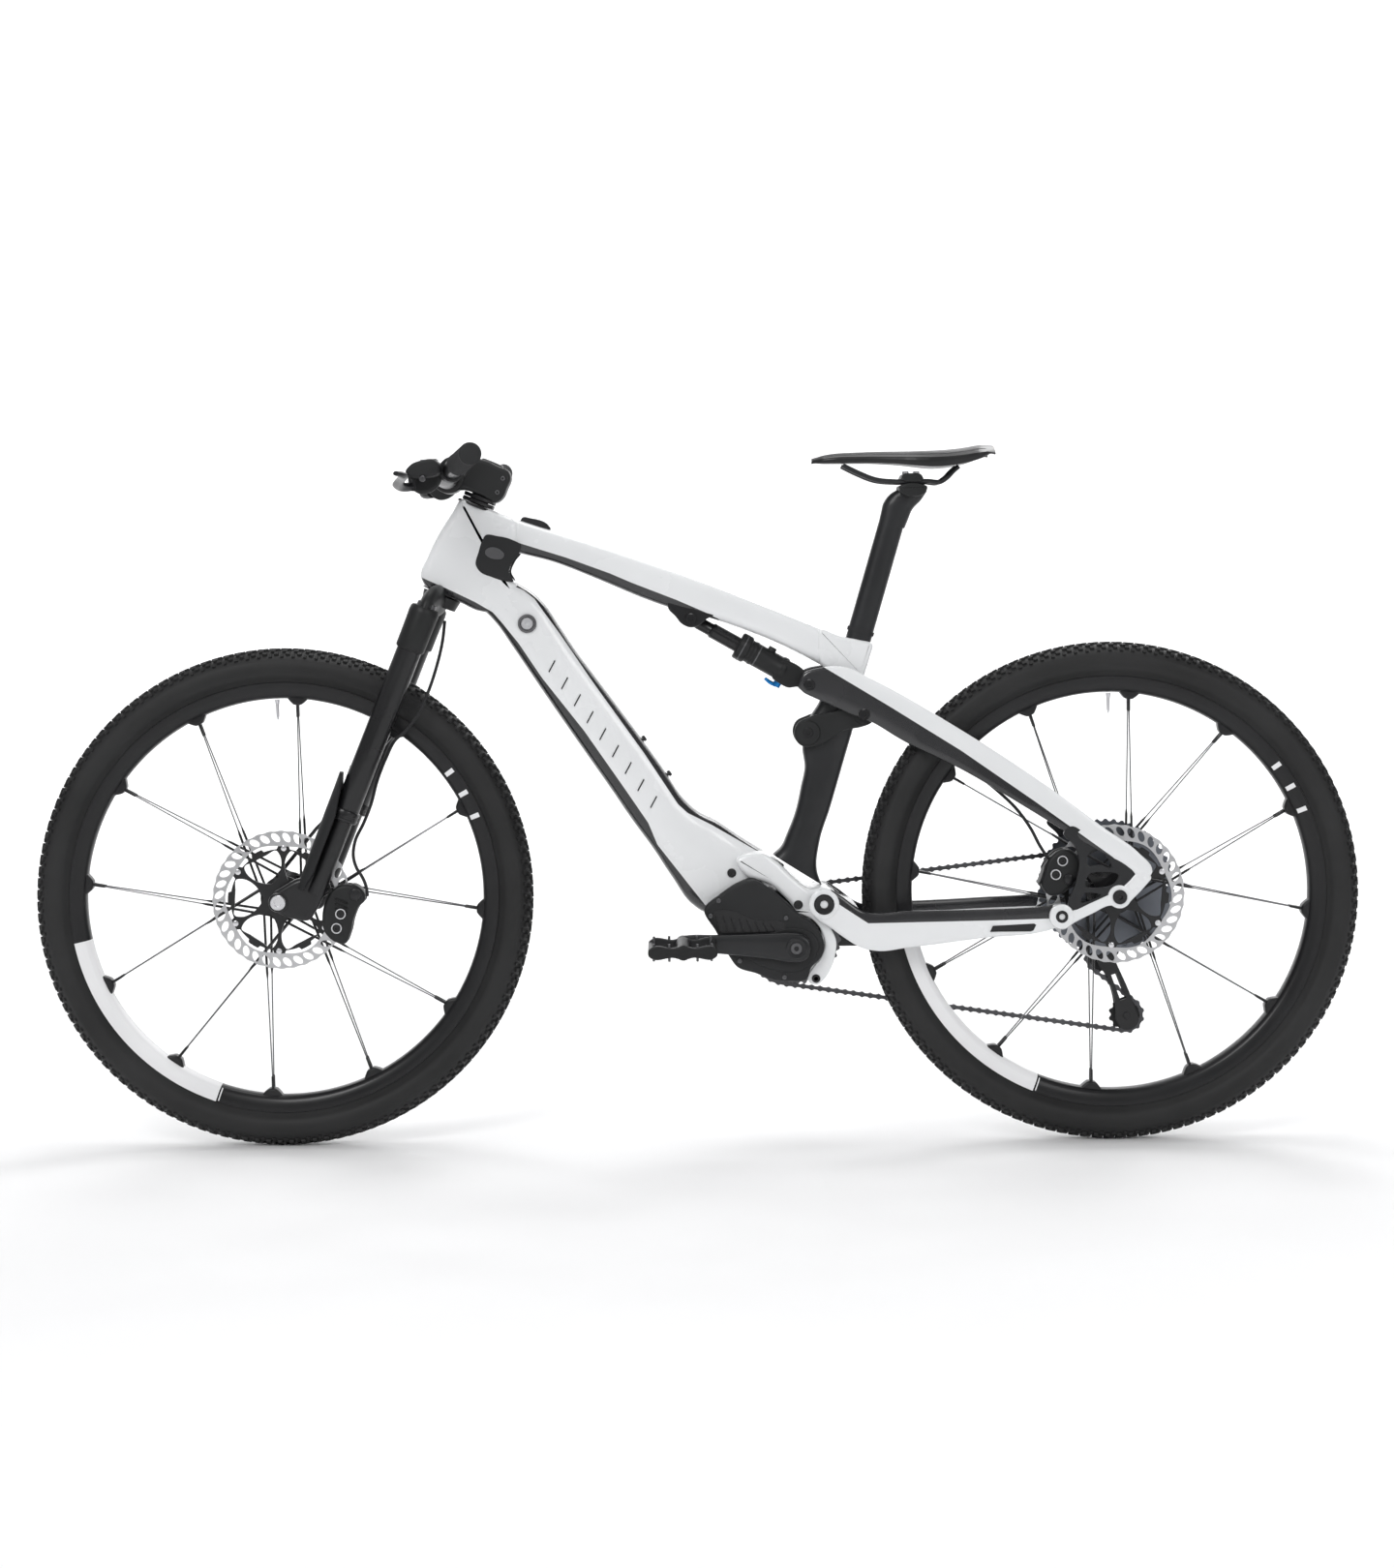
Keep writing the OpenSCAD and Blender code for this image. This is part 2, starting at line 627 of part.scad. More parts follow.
module seatstay() {
    outline = [[150, 678], [154, 691], [189, 704], [228, 701], [248, 690], [299, 663], [351, 632],
        [455, 566], [525, 517], [588, 469], [650, 423], [661, 402], [655, 382], [627, 365], [622, 352],
        [607, 349], [595, 355], [545, 331], [527, 322], [511, 329], [509, 340], [516, 350], [545, 350],
        [560, 420], [535, 462], [490, 490], [385, 553], [299, 596], [256, 622], [197, 647], [176, 658],
        [154, 666]];
    arm = [[140, -44], [300, -46], [500, -90], [670, -90], [670, -81.5], [500, -81.5], [300, -36],
        [140, -33]];
    color("whitesmoke") difference() {
        union() {
            for (s = [0, 1]) mirror([0, s, 0]) intersection() {
                slab(outline, -100, 100);
                plan(arm, 200, 900);
            }
            for (s = [-1, 1]) cross_bar(rear_axle, 17, s > 0 ? 74 : -81.5, s > 0 ? 81.5 : -74);
            slab([[300, 640], [304, 655], [322, 645], [318, 626]], -40, 40);
        }
        cross_bar(rear_axle, 6, -95, 95);
        for (p = [tail_pivot]) cross_bar(p, pin_r, -95, 95);
        for (p = [link_pivot, shock_rear]) cross_bar(p, 4, -60, 60);
        post_frame() translate([0, 0, -240]) linear_extrude(300) post_section(3);
    }
    color("black") {
        cross_bar(shock_rear, 4, -46, 46);
        for (s = [-1, 1]) {
            cross_bar(tail_pivot, pin_r, s > 0 ? 71 : -92, s > 0 ? 92 : -71);
            cross_bar(link_pivot, 4, s > 0 ? 22.5 : -46, s > 0 ? 46 : -22.5);
        }
    }
}

module rear_axle_rod() {
    color([0.08, 0.08, 0.09]) {
        cross_bar(rear_axle, 6, -90, 90);
        cross_bar(rear_axle, 10.5, -93, -90);
    }
}

module rear_caliper() {
    outline = [[500, 380], [512, 422], [534, 436], [556, 424], [556, 398], [530, 370], [512, 368]];
    color([0.08, 0.08, 0.09]) difference() {
        union() {
            slab(outline, -69, -36.5);
            for (p = [[531, 419], [521, 399]]) cross_bar(p, 6, -71, -69);
            slab([[550, 385], [566, 392], [566, 376], [550, 366]], -81.5, -66);
        }
        cross_bar(rear_axle, disc_r + 4, rear_disc_y - 4, rear_disc_y + 4);
        cross_bar(rear_axle, 60, -65, 0);
    }
}

module derailleur_body() {
    color([0.09, 0.09, 0.1]) difference() {
        union() {
            slab([[600, 362], [622, 362], [626, 300], [614, 292], [600, 300]], 90, 96);
            slab([[600, 318], [622, 318], [620, 268], [612, 248], [598, 250], [594, 270]], 66, 91);
        }
        cross_bar(guide_pulley, 4 + run_gap, 40, 90);
    }
}

module rocker_links() {
    outline = [[144, 606], [149, 620], [160, 626], [216, 640], [240, 648], [254, 646], [261, 636],
        [256, 622], [226, 611], [176, 588], [160, 586], [149, 592]];
    color([0.14, 0.14, 0.15]) for (s = [-1, 1]) difference() {
        slab(outline, s > 0 ? 20.5 : -30.5, s > 0 ? 30.5 : -20.5);
        cross_bar(rocker_pivot, pin_r + run_gap, -40, 40);
        cross_bar(link_pivot, 7.5, -40, 40);
    }
}

shock_span = norm(shock_rear - shock_front);
shock_tilt = atan2(shock_front[1] - shock_rear[1], shock_rear[0] - shock_front[0]);
shock_travel = 46;

// Frame of the shock: x from the front eye to the rear eye
module shock_frame() {
    translate([shock_front[0], 0, shock_front[1]]) rotate([0, shock_tilt, 0]) children();
}

module shock_rod() {
    color([0.05, 0.05, 0.05]) shock_frame() difference() {
        union() {
            rotate([90, 0, 0]) cylinder(r = 10, h = 24, center = true);
            translate([8, 0, 0]) rotate([0, 90, 0]) cylinder(r = 9, h = 30);
            translate([38, 0, 0]) rotate([0, 90, 0]) cylinder(r = 14, h = 78);
        }
        rotate([90, 0, 0]) cylinder(r = pin_r + run_gap, h = 30, center = true);
    }
}

module shock_can() {
    color([0.07, 0.07, 0.08]) shock_frame() difference() {
        union() {
            translate([80, 0, 0]) rotate([0, 90, 0]) cylinder(r = 20.5, h = 18);
            translate([97, 0, 0]) rotate([0, 90, 0]) cylinder(r = 18, h = 55);
            translate([150, -16, -20]) cube([40, 32, 36]);
            translate([shock_span, 0, 0]) rotate([90, 0, 0]) cylinder(r = 13, h = 24, center = true);
        }
        translate([50, 0, 0]) rotate([0, 90, 0]) cylinder(r = 14 + run_gap, h = 68 + shock_travel);
        translate([shock_span, 0, 0]) rotate([90, 0, 0]) cylinder(r = 6, h = 50, center = true);
        translate([159, 0, -30]) cylinder(r = 2 + run_gap, h = 15.5);
    }
}

module shock_lever() {
    color("deepskyblue") shock_frame() {
        translate([159, 0, -24]) cylinder(r = 2, h = 9);
        translate([159, 0, -26]) cylinder(r = 6, h = 5);
        translate([138, -3, -26]) cube([21, 6, 4]);
    }
}

// ---------- drive ----------

module cassette() {
    teeth = [50, 46, 42, 38, 34, 31, 28, 24, 20, 16, 13, 10];
    color([0.35, 0.35, 0.37]) at_wheel(rear_axle) difference() {
        for (i = [0:11]) translate([0, 0, -33 - 3.2 * i]) {
            r = pitch * teeth[i] / (2 * PI);
            cylinder(r = min(r, i == 6 ? cog_r - chain_half - 0.4 : r), h = 1.8);
            cylinder(r = min(19, r - 2), h = 3.2);
        }
        translate([0, 0, -80]) cylinder(r = 14.1, h = 60);
    }
}

// Frame of the cranks: local x along the right arm
module crank_frame() {
    translate([crank_axis[0], 0, crank_axis[1]]) rotate([0, crank_turn, 0]) children();
}

function pedal_axis(s) = crank_axis + s * crank_len * [cos(crank_turn), -sin(crank_turn)];

module crank_arms() {
    arm = [[-22, -12], [-26, 0], [-22, 14], [-8, 21], [30, 20], [crank_len - 6, 13],
        [crank_len + 8, 10], [crank_len + 12, 0], [crank_len + 8, -10], [crank_len - 6, -13], [30, -17],
        [0, -21], [-12, -20]];
    color([0.1, 0.1, 0.11]) crank_frame() {
        cross_bar([0, 0], 12, -84, 84);
        for (s = [-1, 1]) {
            slab([for (p = arm) [s * p[0], p[1]]], s > 0 ? 68 : -84, s > 0 ? 84 : -68);
            cross_bar([s * crank_len, 0], pedal_axle_r, s > 0 ? 70 : -178, s > 0 ? 178 : -70);
        }
    }
}

module chainring() {
    root_r = ring_r - chain_half - 0.4;
    color([0.1, 0.1, 0.1]) difference() {
        cross_bar(crank_axis, root_r, chain_y - 1.5, chain_y + 1.5);
        cross_bar(crank_axis, 12, 0, 90);
        for (i = [0:4]) cross_bar(crank_axis + 38 * [cos(72 * i), sin(72 * i)], 12, 0, 90);
    }
}

// Flat cage pedal about its axle, side -1 left and 1 right
module pedal(s) {
    c = pedal_axis(s);
    y0 = s > 0 ? 88 : -186;
    color([0.13, 0.13, 0.14]) difference() {
        union() {
            slab([[c[0] - 50, c[1] - 7], [c[0] - 46, c[1] - 9], [c[0] + 44, c[1] - 9], [c[0] + 48, c[1] - 6],
                [c[0] + 48, c[1] + 6], [c[0] + 44, c[1] + 9], [c[0] - 46, c[1] + 9], [c[0] - 50, c[1] + 7]],
                y0, y0 + 98);
            for (x = [-42, 0, 40], y = [8, 90]) translate([c[0] + x, y0 + y, c[1] - 13])
                cylinder(r = 2, h = 26);
        }
        for (x = [-42, 10], k = [12, 54]) translate([c[0] + x, y0 + k, c[1] - 20]) cube([32, 32, 40]);
        cross_bar(c, pedal_axle_r + run_gap, s > 0 ? 60 : -179, s > 0 ? 179 : -60);
    }
}

module pedal_left() { pedal(-1); }
module pedal_right() { pedal(1); }

cage_dir = unit(tension_pulley - guide_pulley);
cage_side = [-cage_dir[1], cage_dir[0]];
function cage_point(along, across) = guide_pulley + along * cage_dir + across * cage_side;

module derailleur_cage() {
    span = norm(tension_pulley - guide_pulley);
    plate = [cage_point(-12, -8), cage_point(-14, 4), cage_point(0, 14), cage_point(span - 8, 16),
        cage_point(span + 18, 14), cage_point(span + 22, -10), cage_point(span, -18), cage_point(30, -8)];
    color([0.1, 0.1, 0.1]) {
        for (y = [chain_y - 9, chain_y + 6.5]) difference() {
            slab(plate, y, y + 2);
            for (p = [guide_pulley, tension_pulley]) cross_bar(p, 3, y - 1, y + 3);
        }
        cross_bar(guide_pulley, 3, chain_y - 9, chain_y + 8.5);
        cross_bar(tension_pulley, 3, chain_y - 9, chain_y + 8.5);
        cross_bar(guide_pulley, 4, chain_y + 8.5, 80);
    }
}

module pulley(c) {
    color([0.2, 0.2, 0.2]) difference() {
        cross_bar(c, pulley_r - chain_half - 0.4, chain_y - 1.5, chain_y + 1.5);
        cross_bar(c, 3 + run_gap, 0, 90);
    }
}

module guide_wheel() { pulley(guide_pulley); }
module tension_wheel() { pulley(tension_pulley); }

// Touching line of two round wheels: the point on wheel c whose radius makes the given angle
function on_wheel(c, r, a) = c + r * [cos(a), sin(a)];
function outer_angle(c1, r1, c2, r2, side) =
    let (d = c2 - c1) atan2(d[1], d[0]) + side * acos((r1 - r2) / norm(d));
function cross_angle(c1, r1, c2, r2, side) =
    let (d = c2 - c1) atan2(d[1], d[0]) + side * acos((r1 + r2) / norm(d));

module chain_run(a, b) {
    d = unit(b - a) * 2;
    n = unit([-d[1], d[0]]) * (chain_half - 0.4);
    slab([a - d + n, a - d - n, b + d - n, b + d + n], chain_y - 3, chain_y + 3);
}

module chain_bend(c, r, a0, a1) {
    translate([c[0], chain_y + 3.2, c[1]]) rotate([90, 0, 0]) rotate([0, 0, a0])
        rotate_extrude(angle = a1 - a0) translate([r - chain_half, 0]) square([2 * chain_half, 6.4]);
}

module chain() {
    top = outer_angle(crank_axis, ring_r, rear_axle, cog_r, 1);
    off_cog = cross_angle(rear_axle, cog_r, guide_pulley, pulley_r, 1);
    mid = cross_angle(guide_pulley, pulley_r, tension_pulley, pulley_r, -1);
    low = outer_angle(tension_pulley, pulley_r, crank_axis, ring_r, 1);
    color([0.3, 0.3, 0.3]) union() {
        chain_run(on_wheel(crank_axis, ring_r, top), on_wheel(rear_axle, cog_r, top));
        chain_bend(rear_axle, cog_r, off_cog, top);
        chain_run(on_wheel(rear_axle, cog_r, off_cog), on_wheel(guide_pulley, pulley_r, off_cog + 180));
        chain_bend(guide_pulley, pulley_r, off_cog + 180, mid + 360);
        chain_run(on_wheel(guide_pulley, pulley_r, mid), on_wheel(tension_pulley, pulley_r, mid + 180));
        chain_bend(tension_pulley, pulley_r, low - 360, mid + 180);
        chain_run(on_wheel(tension_pulley, pulley_r, low), on_wheel(crank_axis, ring_r, low));
        chain_bend(crank_axis, ring_r, top, low + (low < top ? 360 : 0));
    }
}

// ---------- seat ----------

module seatpost() {
    head = [[277, 928], [282, 947], [300, 963], [338, 965], [343, 958], [322, 934], [315, 918]];
    color([0.17, 0.18, 0.19]) {
        post_frame() translate([0, 0, -post_insert]) linear_extrude(post_insert + 196) post_section(0);
        intersection() {
            slab(head, -14, 14);
            post_frame() translate([-50, -30, 188]) cube([140, 60, 80]);
        }
        translate([303, -29, 960]) cube([39, 58, 10]);
        translate([306, -29, 980]) cube([30, 58, 5]);
        translate([320, 0, 950]) cylinder(r = 3, h = 38);
    }
}

module saddle_pad() {
    side = [[173, 1006], [179, 1013], [207, 1019], [267, 1021], [369, 1022], [410, 1028], [436, 1032],
        [443, 1027], [437, 1014], [418, 1003], [397, 998], [369, 994], [350, 992], [300, 999], [262, 1002],
        [179, 1002]];
    top = [[172, 0], [176, -12], [200, -19], [270, -24], [330, -38], [380, -66], [410, -72], [436, -66],
        [444, -40], [436, 0], [444, 40], [436, 66], [410, 72], [380, 66], [330, 38], [270, 24], [200, 19],
        [176, 12]];
    color([0.09, 0.09, 0.1]) difference() {
        intersection() {
            slab(side, -80, 80);
            plan(top, 900, 1100);
        }
        translate([320, 0, 980]) cylinder(r = 6, h = 16);
    }
}

module saddle_rails() {
    outline = [[215, 1000], [223, 996], [272, 974], [296, 970], [346, 970], [367, 970], [381, 985],
        [391, 996.5], [384, 995.5], [376, 988], [365, 980], [300, 980], [277, 984], [232, 1001.9], [215, 1001.9]];
    color([0.12, 0.12, 0.12]) slab_pair(outline, 18.5, 25.5);
}

head_tube();
top_tube();
down_tube();
seat_tube();
seat_collar();
motor_bay();
motor_unit();
motor_cover();
battery_pack();
headset_bearings();
display_unit();
charge_port_flap();
frame_lock();
frame_bolts();
bottle_bolts();
fork_crown();
fork_upper_tubes();
stem();
steerer_spacers();
handlebar();
grips();
brake_masters();
brake_lever_left();
brake_lever_right();
fork_lower_legs();
fork_guards();
front_axle_rod();
front_caliper();
front_hose();
front_tyre();
front_rim();
front_spokes();
front_hub();
front_disc();
chainstay();
seatstay();
rear_axle_rod();
rear_caliper();
derailleur_body();
rocker_links();
shock_rod();
shock_can();
shock_lever();
rear_tyre();
rear_rim();
rear_spokes();
rear_hub();
rear_disc();
cassette();
crank_arms();
chainring();
pedal_left();
pedal_right();
derailleur_cage();
guide_wheel();
tension_wheel();
chain();
seatpost();
saddle_pad();
saddle_rails();
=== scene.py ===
import logging
import math
from dataclasses import dataclass, field
from enum import Enum

import bmesh
import bpy
import numpy as np
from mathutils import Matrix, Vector
from mathutils.geometry import tessellate_polygon


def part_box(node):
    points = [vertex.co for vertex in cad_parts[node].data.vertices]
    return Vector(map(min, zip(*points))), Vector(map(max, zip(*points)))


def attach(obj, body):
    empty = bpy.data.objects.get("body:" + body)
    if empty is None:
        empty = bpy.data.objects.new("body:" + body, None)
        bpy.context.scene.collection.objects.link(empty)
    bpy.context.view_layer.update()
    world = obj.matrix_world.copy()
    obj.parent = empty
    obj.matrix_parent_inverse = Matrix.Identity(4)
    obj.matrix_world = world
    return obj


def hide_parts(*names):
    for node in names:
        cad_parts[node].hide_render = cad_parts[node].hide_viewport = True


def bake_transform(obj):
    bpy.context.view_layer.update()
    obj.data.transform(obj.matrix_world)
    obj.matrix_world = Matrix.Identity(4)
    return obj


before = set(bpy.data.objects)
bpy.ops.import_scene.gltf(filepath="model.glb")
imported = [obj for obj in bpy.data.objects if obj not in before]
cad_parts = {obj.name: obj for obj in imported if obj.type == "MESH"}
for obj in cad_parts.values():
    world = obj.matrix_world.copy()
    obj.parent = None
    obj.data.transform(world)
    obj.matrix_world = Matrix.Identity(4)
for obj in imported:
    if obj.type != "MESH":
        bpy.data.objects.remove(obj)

LOG = logging.getLogger("mountain_bike")
MM = 0.001
Pairs = list[tuple[float, float]]


def middle(node: str) -> np.ndarray:
    """Middle of a CAD node's box, in millimetres.

    Args:
        node: the node's name.

    Returns:
        The x, y and z of the middle.
    """
    low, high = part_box(node)
    return (np.array(low) + np.array(high)) / 2 / MM


FRONT_AXLE = middle("front_tyre")
REAR_AXLE = middle("rear_tyre")
LEAN = math.radians(21.8)
STEER_BASE = np.array([FRONT_AXLE[0] + 54 * math.cos(LEAN), FRONT_AXLE[2] - 54 * math.sin(LEAN)])
MAIN_PIVOT = (184.0, 357.0)
TAIL_PIVOT = (527.0, 340.0)
LINK_PIVOT = (246.0, 633.0)
ROCKER_PIVOT = (164.0, 606.0)
SHOCK_FRONT = (-7.0, 775.0)
SHOCK_REAR = (166.0, 677.0)
CRANK_AXIS = (142.0, 296.0)
CRANK_TURN = math.radians(3.0)
CRANK_LENGTH = 165.0
GUIDE_WHEEL = (608.0, 262.0)
TENSION_WHEEL = (642.0, 174.0)
CHAIN_Y = 53.0
PITCH = 12.7
HOSE_RADIUS = 2.4
FULL_TURN = 2 * np.pi
SIDES = ((-1, "left"), (1, "right"))


# ---------------------------------------------------------------- shapes


@dataclass
class Shell:
    """A mesh held as arrays: points, four-sided faces with their UVs, and many-sided faces."""

    points: np.ndarray
    quads: np.ndarray
    uv: np.ndarray
    fans: list[list[int]] = field(default_factory=list)

    def turned(self, degrees: float, centre: tuple[float, float]) -> "Shell":
        """Turn about an axis across the bike, counter-clockwise as seen from the left side.

        Args:
            degrees: the angle.
            centre: x and z of the axis.

        Returns:
            The turned shell. Formula: the plane rotation matrix on x and z.
        """
        a = math.radians(degrees)
        x, z = self.points[:, 0] - centre[0], self.points[:, 2] - centre[1]
        p = np.column_stack([centre[0] + x * math.cos(a) - z * math.sin(a), self.points[:, 1],
                             centre[1] + x * math.sin(a) + z * math.cos(a)])
        return Shell(p, self.quads, self.uv, self.fans)

    def upright(self) -> "Shell":
        """Stand a part lathed about an axis across the bike on end, so that its axis runs up."""
        return Shell(self.points[:, [0, 2, 1]], self.quads, self.uv, self.fans)

    def leaned(self) -> "Shell":
        """Turn from the fork's own frame, with z up the steering axis, into the bike's frame.

        Returns:
            The turned shell. Formula: the plane rotation by the lean on x and z, about the base point.
        """
        x, y, z = self.points.T
        p = np.column_stack([STEER_BASE[0] + x * math.cos(LEAN) + z * math.sin(LEAN), y,
                             STEER_BASE[1] - x * math.sin(LEAN) + z * math.cos(LEAN)])
        return Shell(p, self.quads, self.uv, self.fans)

    def mirrored(self) -> "Shell":
        """The same shell on the other side of the bike, with its faces turned round to point out."""
        p = self.points * np.array([1.0, -1.0, 1.0])
        return Shell(p, self.quads[:, ::-1], self.uv[:, ::-1], [f[::-1] for f in self.fans])

    def around(self, count: int, centre: tuple[float, float], start: float = 0.0) -> "Shell":
        """Copies at even angles about an axis across the bike.

        Args:
            count: how many copies.
            centre: x and z of the axis.
            start: angle of the first copy in degrees.

        Returns:
            All the copies as one shell.
        """
        return join([self.turned(start + 360.0 * k / count, centre) for k in range(count)])

    def build(self, name: str, finish: "Finish", body: str, *nodes: str, sharp: float = 35.0,
              closed: bool = True) -> bpy.types.Object:
        """Make the Blender object, dress it and tie it to its CAD body.

        Args:
            name: the object's name.
            finish: its finish.
            body: the CAD body that it rides on; empty leaves it tied to no body.
            nodes: CAD nodes that it stands for.
            sharp: edges sharper than this many degrees stay crisp.
            closed: whether the shell encloses a volume, so its faces can be turned outwards.

        Returns:
            The new object.
        """
        mesh = bpy.data.meshes.new(name)
        faces = self.quads.tolist() + self.fans
        mesh.from_pydata((self.points * MM).tolist(), [], faces)
        layer = mesh.uv_layers.new(name="UVMap")
        flat = np.zeros((len(mesh.loops), 2), dtype=np.float32)
        flat[: self.quads.size] = self.uv.reshape(-1, 2)
        layer.data.foreach_set("uv", flat.ravel())
        if closed:
            work = bmesh.new()
            work.from_mesh(mesh)
            bmesh.ops.recalc_face_normals(work, faces=work.faces)
            work.to_mesh(mesh)
            work.free()
        mesh.set_sharp_from_angle(angle=math.radians(sharp))
        mesh.polygons.foreach_set("use_smooth", np.ones(len(mesh.polygons), dtype=bool))
        mesh.update()
        piece = put(name, mesh)
        mesh.materials.append(finish.material())
        if body:
            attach(piece, body)
        if nodes:
            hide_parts(*nodes)
        LOG.info("%s: %d faces on %s", name, len(faces), body or "two bodies")
        return piece


def put(name: str, data: bpy.types.ID) -> bpy.types.Object:
    """Make an object from its data and link it into the scene."""
    made = bpy.data.objects.new(name, data)
    bpy.context.scene.collection.objects.link(made)
    return made


def span(side: int, near: float, far: float) -> tuple[float, float]:
    """The y range between two distances from the middle, on one side of the bike, lowest first."""
    return (near, far) if side > 0 else (-far, -near)


def join(shells: list[Shell]) -> Shell:
    """Put several shells into one.

    Args:
        shells: the shells.

    Returns:
        One shell whose faces count on through all the points.
    """
    start = np.cumsum([0] + [len(s.points) for s in shells])
    return Shell(
        np.vstack([s.points for s in shells]),
        np.vstack([s.quads + k for s, k in zip(shells, start)]),
        np.vstack([s.uv for s in shells]),
        [[int(i + k) for i in f] for s, k in zip(shells, start) for f in s.fans],
    )


def both_sides(*shells: Shell) -> Shell:
    """The shells and their mirror images on the other side of the bike, as one shell."""
    return join([*shells, *(s.mirrored() for s in shells)])


def repeat(shell: Shell, axes: np.ndarray, places: np.ndarray) -> Shell:
    """Copy one small shell to many places at once.

    Args:
        shell: the shell, in its own x, y, z.
        axes: one 3 by 3 matrix per copy, whose rows say where x, y and z go.
        places: one point per copy.

    Returns:
        All copies. Formula: each point is x times row 0, y times row 1, z times row 2, plus the place.
    """
    n = len(shell.points)
    points = (np.einsum("pi,kij->kpj", shell.points, axes) + places[:, None, :]).reshape(-1, 3)
    shift = np.arange(len(places)) * n
    quads = (shell.quads[None] + shift[:, None, None]).reshape(-1, 4)
    uv = np.tile(shell.uv, (len(places), 1, 1))
    fans = [[int(i + k) for i in f] for k in shift for f in shell.fans]
    return Shell(points, quads, uv, fans)


def woven(grid: np.ndarray, wrap_u: bool, wrap_v: bool, caps: bool = False) -> Shell:
    """Join a grid of points into four-sided faces.

    Args:
        grid: points, indexed by the first and the second parameter.
        wrap_u: whether the first parameter comes round to its start.
        wrap_v: whether the second does.
        caps: whether to close both ends of the first parameter with one face each.

    Returns:
        The shell, with UVs that run from 0 to 1 along both parameters.
    """
    nu, nv = grid.shape[:2]
    i, j = np.meshgrid(np.arange(nu if wrap_u else nu - 1), np.arange(nv if wrap_v else nv - 1), indexing="ij")
    ends = [(i, j), (i, j + 1), (i + 1, j + 1), (i + 1, j)]
    quads = np.stack([(a % nu) * nv + b % nv for a, b in ends], -1).reshape(-1, 4)
    uv = np.stack([np.stack([a / max(nu - 1, 1), b / max(nv - 1, 1)], -1) for a, b in ends], -2).reshape(-1, 4, 2)
    fans = [list(range(nv))[::-1], list(range((nu - 1) * nv, nu * nv))] if caps else []
    return Shell(grid.reshape(-1, 3), quads, uv.astype(float), fans)


def spline(points: Pairs | list | np.ndarray, count: int, closed: bool = False) -> np.ndarray:
    """A smooth curve through the given points.

    Args:
        points: the points, two or three numbers each.
        count: how many points to return.
        closed: whether the curve comes back to its start.

    Returns:
        Points along the curve. Formula: cubic Hermite pieces whose slopes are the central
        differences of the points over the distance along them.
    """
    p = np.asarray(points, dtype=float)
    if closed:
        p = np.vstack([p[-2:], p, p[:3]])
    t = np.concatenate([[0.0], np.cumsum(np.linalg.norm(np.diff(p, axis=0), axis=1))])
    slope = np.gradient(p, t, axis=0)
    low, high = (t[2], t[-3]) if closed else (t[0], t[-1])
    s = np.linspace(low, high, count, endpoint=not closed)
    k = np.clip(np.searchsorted(t, s, side="right") - 1, 0, len(t) - 2)
    h = (t[k + 1] - t[k])[:, None]
    u = (s - t[k])[:, None] / h
    return ((2 * u**3 - 3 * u**2 + 1) * p[k] + (u**3 - 2 * u**2 + u) * h * slope[k]
            + (3 * u**2 - 2 * u**3) * p[k + 1] + (u**3 - u**2) * h * slope[k + 1])


def along(values: float | list[float], count: int) -> np.ndarray:
    """Spread one value, or a few evenly spaced ones, over a count of steps by straight lines."""
    v = np.atleast_1d(np.asarray(values, dtype=float))
    return np.interp(np.linspace(0, 1, count), np.linspace(0, 1, len(v)), v) if len(v) > 1 else np.full(count, v[0])


def loft(top: Pairs, bottom: Pairs, y: float | list[float], half: float | list[float], power: float = 3.0,
         steps: int = 72, sides: int = 40, nose: float = 0.0) -> Shell:
    """A tube whose side view lies between two edges.

    Args:
        top: one edge in x and z.
        bottom: the other edge, running the same way.
        y: the middle of the tube across the bike, one value or several along it.
        half: half its width, one value or several along it.
        power: 2 gives an oval section, larger gives squarer sides.
        steps: points along.
        sides: points round.
        nose: how far each end is rounded, as a part of the length.

    Returns:
        The shell. Formula: middle of the two edges plus sin to the 2/power of half their
        difference, and y plus cos to the 2/power of the half width.
    """
    a, b = spline(top, steps), spline(bottom, steps)
    s = np.linspace(0, 1, steps)
    shrink = np.ones(steps)
    if nose:
        inward = np.clip(np.minimum(s, 1 - s) / nose, 0, 1)
        shrink = np.maximum(np.sqrt(1 - (1 - inward) ** 2), 0.12)
    phi = turns(sides)
    lift = np.sign(np.sin(phi)) * np.abs(np.sin(phi)) ** (2 / power)
    wide = np.sign(np.cos(phi)) * np.abs(np.cos(phi)) ** (2 / power)
    mid, arm = (a + b) / 2, (a - b) / 2
    xz = mid[:, None, :] + arm[:, None, :] * (lift[None, :, None] * shrink[:, None, None])
    yy = along(y, steps)[:, None] + along(half, steps)[:, None] * wide[None, :] * shrink[:, None]
    return woven(np.stack([xz[..., 0], yy, xz[..., 1]], -1), False, True, caps=True)


def pipe(path: list | np.ndarray, radius: float | list[float], sides: int = 20, flat: float = 1.0,
         count: int = 0) -> Shell:
    """A round or oval bar along a path.

    Args:
        path: points in x, y and z.
        radius: the radius, one value or several along the path.
        sides: points round.
        flat: height of the section as a part of its width.
        count: number of points on a smooth curve through the path; 0 keeps the path as it is.

    Returns:
        The shell. Formula: path point plus radius times (cos of the side vector and sin of the
        up vector), both square to the path.
    """
    p = spline(path, count) if count else np.asarray(path, dtype=float)
    t = np.gradient(p, axis=0)
    t /= np.linalg.norm(t, axis=1)[:, None]
    mean = np.abs(t).mean(axis=0)
    ref = np.eye(3)[int(np.argmin(mean))]
    side = np.cross(t, ref)
    side /= np.linalg.norm(side, axis=1)[:, None]
    up = np.cross(side, t)
    phi = turns(sides)
    r = along(radius, len(p))[:, None, None]
    ring = (side[:, None, :] * np.cos(phi)[None, :, None] * (flat if ref[2] else 1.0)
            + up[:, None, :] * np.sin(phi)[None, :, None] * (1.0 if ref[2] else flat))
    return woven(p[:, None, :] + r * ring, False, True, caps=True)


